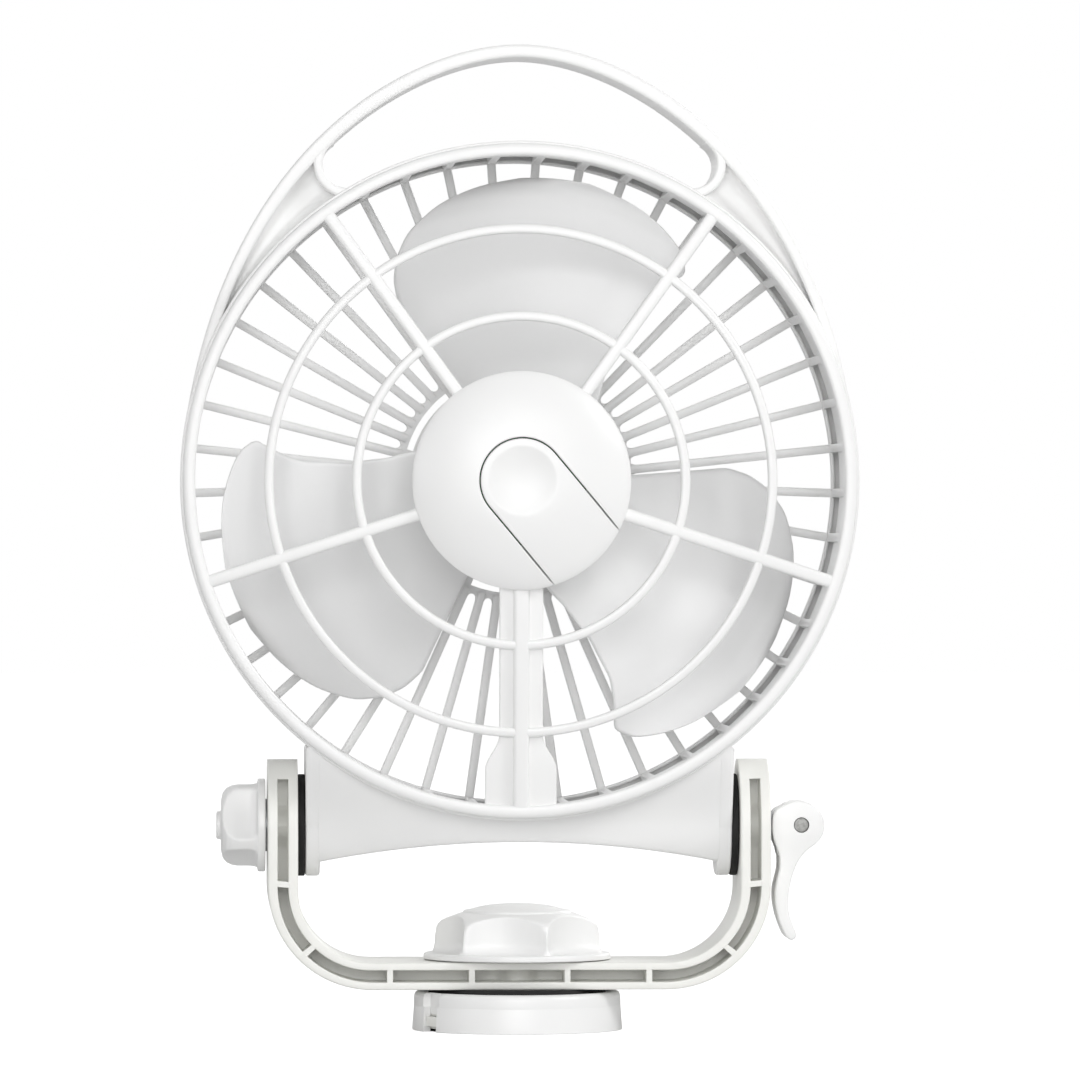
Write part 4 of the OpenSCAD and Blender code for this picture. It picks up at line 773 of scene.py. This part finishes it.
def dome(r):
    """Height of the grille's front at a radius: a sphere through the ring's edge and the hub's seat."""
    return ring_face - dome_centre + np.sqrt(dome_sphere ** 2 - r ** 2)


lip = turned(rounded([[ring_r, lip_back - 4], [ring_r + 1.2, lip_back - 4], [ring_r + 1.2, lip_back],
    [ring_out, lip_back], [ring_out, ring_face], [ring_r, ring_face]],
    [0.3, 0.3, 0.1, 0.5, 1.5, 0.9]), turns=256)
bars = []
for r in circle_radii:
    slope = -r / (dome(r) - ring_face + dome_centre)
    w, h = rounded(box(-circle_w / 2, circle_w / 2, -bar_t, -0.1), [0.4, 0.4, 0.95, 0.95]).T
    bars.append(turned(np.stack([r + w, dome(r) + slope * w + h], 1), turns=200))
r = np.linspace(hub_r - 2.5, ring_r + 0.7, 30)
for n in range(spoke_n):
    half = (spoke_w if n else foot_spoke_w) / 2
    w, h = rounded(box(-half, half, -bar_t, 0), [0.4, 0.4, 1.1, 1.1]).T
    height = np.minimum(dome(r), seat_z)[:, None] + h
    bars.append(skin(at_angle(-90 + n * 360 / spoke_n, r[:, None], w, height)))
r = np.linspace(hub_r - 2.5, ring_r + 0.9, 60)
half = cover_half + (cover_foot_half - cover_half) * s_curve(r, spread_from, spread_over)
rise = np.minimum(dome(r), seat_z) - cover_back
web = rounded(stations(box(-half, half, rise - cover_t, rise)), [0.2, 0.2, 0.5, 0.5])
bars.append(skin(at_angle(-90, r[:, None], web[..., 0], web[..., 1])))
hub_seat = turned(rounded(box(15, hub_r, seat_z - 2.2, seat_z), [0.3, 0.8, 0.2, 0.3]))
place("front_guard_grille", on_fan(lip, *bars, hub_seat), abs_white, "head",
    "front_guard")

# ---- Hub cap and speed button ----
# The domed cap is white ABS. A tongue of the same dome is cut free by a narrow gap, with a round
# finger dish at its end: pressing it bends it at the cap's edge and works the switch below.

hub_h, hub_wall, cap_rim = 7.0, 2.0, 0.9
button_r, button_way, gap_half = 11.15, -50.0, 0.2
dish_r, dish_d = 9.0, 1.1
side_n = 40


def cap_front(r):
    """Height of the cap over its seat: rim + (h - rim) (1 - (r / R)^2.3)^0.75, steepest at its edge."""
    share = np.clip(1 - (r / hub_r) ** 2.3, 0, 1)
    return cap_rim + (hub_h - cap_rim) * share ** 0.75


def hub_leaf(plan, front, back, whole=False):
    """A shell between two heights over the hub's seat, from a plan turned to the button's way."""
    return leaf(button_way, plan[..., 0].T, plan[..., 1].T, front.T + seat_z, back.T + seat_z, whole)


def stadium(half):
    """Outline of the tongue or its opening, from the hub's edge round the far end and back, in plan."""
    x = np.linspace(sqrt(hub_r ** 2 - half ** 2), 0, side_n, endpoint=False)
    round_end = at_angle(np.linspace(90, 270, 73), half, 0, 0)[:, :2]
    return np.concatenate([np.stack([x, 0 * x + half], 1), round_end, np.stack([x[::-1], 0 * x - half], 1)])


# the edges of the tongue and its opening are rounded: how far in, and how far down
lip_in = np.array([0.0, 0.04, 0.1, 0.19, 0.3])[:, None]
lip_down = np.array([0.3, 0.17, 0.08, 0.02, 0.0])[:, None]
inner = stadium(button_r + gap_half)
first_turn = degrees(asin((button_r + gap_half) / hub_r))
side_turn = np.linspace(first_turn, 90, side_n, endpoint=False)
edge_turn = np.concatenate([side_turn, np.linspace(90, 270, 73), 360 - side_turn[::-1]])
rim = at_angle(edge_turn, hub_r, 0, 0)[:, :2]
wide = np.linalg.norm(rim - inner, axis=1)
near = np.minimum(lip_in, 0.4 * wide) / np.maximum(wide, 1e-6)
spread = 1 - (1 - np.linspace(0, 1, 32)[:, None]) ** 2
share = np.concatenate([near, near[-1] + (1 - near[-1]) * spread[1:]])
plan = inner + share[..., None] * (rim - inner)
height = cap_front(np.linalg.norm(plan, axis=-1))
below = np.clip(height - hub_wall, 0.05, None)
height[:5] -= lip_down * np.clip(wide / 2, 0, 1)
cap = hub_leaf(plan, np.maximum(height, 0.1), np.minimum(below, height - 0.05))
place("hub_cap_dome", on_fan(cap), abs_white, "head", "hub_cap")

last_turn = degrees(asin((button_r - gap_half) / hub_r))
hinge = at_angle(np.linspace(-last_turn, last_turn, 26)[1:], hub_r, 0, 0)[:, :2]
outline = np.concatenate([stadium(button_r - gap_half), hinge])
reach = np.linalg.norm(outline, axis=1)
near = 1 - lip_in[::-1] / reach
plan = np.concatenate([np.linspace(0, 1, 40)[:-1, None] * near[0], near])[..., None] * outline
r = np.linalg.norm(plan, axis=-1)
# the finger dish is a shallow sphere that is dish_d deep inside the radius dish_r
sphere = (dish_r ** 2 + dish_d ** 2) / (2 * dish_d)
dish = cap_front(dish_r) - dish_d + sphere - np.sqrt(sphere ** 2 - np.minimum(r, dish_r + 2) ** 2)
height = smooth_min(cap_front(r), dish, 0.05)
height[-5:] -= lip_down[::-1] * (reach < hub_r - 0.4)
height = np.maximum(height, 0.6)
below = np.minimum(np.maximum(height - hub_wall, 0.4), height - 0.1)
place("speed_button_tongue", on_fan(hub_leaf(plan, height, below, whole=True)), abs_white,
    "speed_button", "speed_button")

# ---- Switch board, switch and lead ----
# Under the tongue: a round fibreglass board with green solder mask and a small push switch. A flat
# black lead runs down behind the foot spoke and back up the strut to the motor.

# Fibreglass with solder mask: glossy green, with the weave showing faintly through it.
board = finish("fibreglass_green_solder_mask", noise(0.8, 4, (1, 0.3, 1)), 0.02,
    (noise(2.5, 1, (1, 1, 0.3)), "#1E5B33", "#2A7444"), (0.18, 0.3), ior=1.55)
dress(board, "switch_board")
dress(black_plastic, "tact_switch", "switch_lead", "motor_end_cap")

# ---- Motor ----
# A small 12 V motor: zinc-plated can, two magnets, a wound armature with its commutator and two
# carbon brushes, brass bushes and a ground shaft. Three screws hold it to the plate.

# Sintered ferrite and carbon: charcoal grey, grainy and quite matt.
ferrite = finish("ferrite_sintered", noise(0.35, 4), 0.03, (noise(0.8), "#3A3A3D", "#4B4B4F"),
    (0.5, 0.7), metallic=0.3)


def wire_ridges_and_groove_shade(tree, at):
    """Ridges of enamelled wire: bands 0.45 mm apart across the fan axis, coarser than the real wire. As a
    tint it paints shade: darker in the grooves between the turns, lighter on their crests.
    """
    return add(tree, "TexWave", {"Vector": at, "Scale": 2222.0 / 6.283, "Distortion": 0.4,
        "Detail": 1.0}, wave_type="BANDS", bands_direction="Y").outputs["Fac"]


# Enamelled copper wire, wound: reddish metal under clear lacquer, in close ridges, with painted shade: its
# colour darkens in the grooves between the turns and lightens on their crests.
winding = finish("copper_wire_enamelled", wire_ridges_and_groove_shade, 0.12, (wire_ridges_and_groove_shade, "#8F4A26", "#C4713D"),
    (0.22, 0.35), metallic=1.0)
dress(zinc, "motor_can", "motor_shaft")
dress(ferrite, "motor_magnets", "motor_brushes")
dress(winding, "armature")
dress(brass, "motor_bushes", "commutator", "propeller_nut")


def from_behind(one, circle_r, z, first):
    """Three of a screw round the fan axis, driven in from behind at a height along it."""
    return on_fan(*(moved(one, [[1, 0, 0], [0, -1, 0], [0, 0, -1]], at_angle(a, circle_r, 0, z))
        for a in first + np.arange(3) * 120))


place("motor_screw_set", from_behind(screw(2.6, 1.6, 1.2, 5.3), 12.5, shell_back - 0.02, 90), zinc,
    "head", "motor_screws")

# ---- Motor cover, its screws and the power inlet ----
# A shallow round cover of white ABS with six vents closes the motor's back. Three screws hold it,
# and a black 12 V socket looks out under its middle.


def softened(node, name, material, edge_mm):
    """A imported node's own shape on the head: merged, its flats joined up, its rims eased by a bevel."""
    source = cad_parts[node].data
    shell = np.array([v.co for v in source.vertices]) * 1000, [face.vertices[:] for face in source.polygons]
    piece = place(name, shell, material, "head", node, sharp=30)
    work = bmesh.new()
    work.from_mesh(piece.data)
    bmesh.ops.dissolve_limit(work, angle_limit=radians(1), verts=work.verts, edges=work.edges)
    work.to_mesh(piece.data)
    work.free()
    ease = piece.modifiers.new("eased_rims", "BEVEL")
    ease.width, ease.segments, ease.limit_method = edge_mm / 1000, 2, "ANGLE"
    ease.angle_limit = radians(40)
    ease.harden_normals = True


softened("motor_cover", "motor_cover_cap", abs_white, 0.3)
softened("power_inlet", "power_inlet_socket", black_plastic, 0.15)
cover_back_z, head_h = -span("cover_screws")[1][1], 1.3
place("cover_screw_set", from_behind(screw(2.2, head_h, 1.0, 11), 23.5, cover_back_z + head_h, 40), zinc,
    "head", "cover_screws")

# ---- Propeller ----
# Three broad blades on a deep cup, moulded in one piece in light grey polypropylene.

# Polypropylene: light grey, a little waxy, softer gloss than the housing.
blade_grey = finish("polypropylene_light_grey", noise(0.6, 2), 0.008,
    (noise(25), "#F2F2F2", "#EDEDED"), (0.42, 0.5), ior=1.49)
blade_n, blade_tip, blade_root, table_reach, blade_rise = 3, 80.9, 22.0, 58.4, 17.0
blade_t, blade_edge_r, camber = 1.7, 1.1, 2.2
cup_r, cup_t, cup_back, cup_front, can_front = 23.0, 2.4, -9.0, -span("propeller")[0][1], 6.7
# angles of the blade's two edges in degrees at radii in millimetres
leading = [[22, 158], [35, 170], [45, 174], [57, 174.8], [62, 173.6], [70, 171], [74, 174],
    [77.5, 182], [79.6, 190.5], [80.5, 200]]
trailing = [[22, 243], [42, 243.5], [56, 243.8], [62, 241.6], [67, 238.4], [72, 233.4], [76.5, 225],
    [79.6, 214.5], [80.5, 206]]


def eased(at, table):
    """A value read off a table of (place, value), averaged 1.1 to each side so that it has no kinks."""
    places, values = np.transpose(table)
    return np.mean([np.interp(at + d, places, values) for d in np.linspace(-1.1, 1.1, 9)], 0)


share = 1 - (1 - np.linspace(0, 1, 56)) ** 1.7
first, last = (np.radians(eased(blade_root + table_reach * share, table))[:, None]
    for table in (leading, trailing))
r = (blade_root + (blade_tip - blade_root) * share)[:, None]
f = (1 - np.cos(np.linspace(0, pi, 41))) / 2
# pitch falls off outwards, and the camber is half a sine wave
mid = 0.4 + (0.5 - f) * blade_rise * (1.15 - 0.25 * r / 81) + camber * np.sin(pi * f)
edge_gap = np.minimum(np.minimum(f, 1 - f) * r * (last - first), blade_tip - r + 0.02)
round_off = np.sqrt(np.clip(1 - (1 - np.clip(edge_gap / blade_edge_r, 0, 1)) ** 2, 0, 1))
half_t = 0.5 * blade_t * round_off + 0.01
angle = np.degrees(first + (last - first) * f)
blades = [leaf(angle + n * 360 / blade_n, r, 0, mid + half_t, mid - half_t) for n in range(blade_n)]
cup = turned(rounded([[1.6, can_front], [6, can_front], [6, cup_front - 2], [cup_r - cup_t, cup_front - 2],
    [cup_r - cup_t, cup_back], [cup_r, cup_back], [cup_r, cup_front], [1.6, cup_front]],
    [0.1, 0.2, 0.5, 1.0, 0.3, 0.4, 1.5, 0.1]))
place("propeller_blades", on_fan(cup, *blades), blade_grey, "rotor", "propeller",
    sharp=60)

# ---- Studio: floor, backdrop light, lamps and camera ----
# A pale floor under soft light from the front and right, in front of a white surround. The floor is
# matt paper: lit like white card, and read as white by the camera except where it is shaded.


def by_ray(tree, shader, other, *kinds):
    """One shader, and another for rays of some kinds: the mix is the greatest of their flags."""
    rays, share = add(tree, "LightPath").outputs, 0.0
    for kind in kinds:
        share = add(tree, "Math", {0: share, 1: rays[f"Is {kind} Ray"]}, operation="MAXIMUM").outputs[0]
    return add(tree, "MixShader", {0: share, 1: shader.outputs[0], 2: other.outputs[0]}).outputs[0]


floor_half = 6.0
floor_mesh = bpy.data.meshes.new("floor")
floor_mesh.from_pydata([(x, y, 0) for x, y in box(-floor_half, floor_half, -floor_half, floor_half)], [],
    [(0, 1, 2, 3)])
paper = bpy.data.materials.new("paper_matt_floor")
tree = emptied(paper)
fibre = noise(2.5, 3.0)(tree, add(tree, "TexCoord").outputs["Object"])
card = add(tree, "BsdfDiffuse", {"Color": mixed_colour(tree, fibre, "#F0F0F0", "#EAEAEA")})
glow = add(tree, "Emission", {"Color": (1, 1, 1, 1), "Strength": 0.74})
lit = add(tree, "AddShader", {0: card.outputs[0], 1: glow.outputs[0]})
add(tree, "OutputMaterial", {"Surface": by_ray(tree, card, lit, "Camera")})
floor_mesh.materials.append(paper)
put("floor", floor_mesh)

# things are lit by soft grey from all round, while the eye, mirrors and glass see a white wall
world = bpy.data.worlds.new("studio")
bpy.context.scene.world = world
sky = emptied(world)
soft_light, white_wall = (add(sky, "Background", {"Color": (1, 1, 1, 1), "Strength": strength})
    for strength in (0.32, 1.0))
surround = by_ray(sky, soft_light, white_wall, "Camera", "Glossy", "Transmission")
add(sky, "OutputWorld", {"Surface": surround})

lamp_aim = np.array([0, 0, 0.13])
for name, where, size, watts in (("key_softbox", (2.2, -1.3, 1.7), 0.9, 31.5),
    ("front_softbox", (-0.1, -2.7, 0.6), 1.6, 31.0), ("fill_softbox", (-1.9, -1.3, 0.5), 1.0, 4.5),
    ("back_softbox", (1.2, 1.9, 1.2), 1.0, 14.0)):
    softbox = bpy.data.lights.new(name, "AREA")
    softbox.shape, softbox.size, softbox.energy = "SQUARE", size, watts
    lamp = put(name, softbox)
    way = lamp_aim - where
    lamp.location = where
    lamp.rotation_euler = (atan2(hypot(way[0], way[1]), -way[2]), 0, atan2(way[1], way[0]) - pi / 2)

camera_turn, camera_reach = 2.45, 2.225
camera_aim = np.array([0.005, -ring_face / 1000, 0.1299])
camera_data = bpy.data.cameras.new("camera")
camera_data.sensor_width, camera_data.lens = 36.0, 282.3
camera = put("camera", camera_data)
camera.location = camera_aim - at_angle(90 - camera_turn, camera_reach, 0, 0)
camera.rotation_euler = (pi / 2, 0, -radians(camera_turn))
bpy.context.scene.camera = camera
bpy.context.scene.view_settings.view_transform = "Standard"
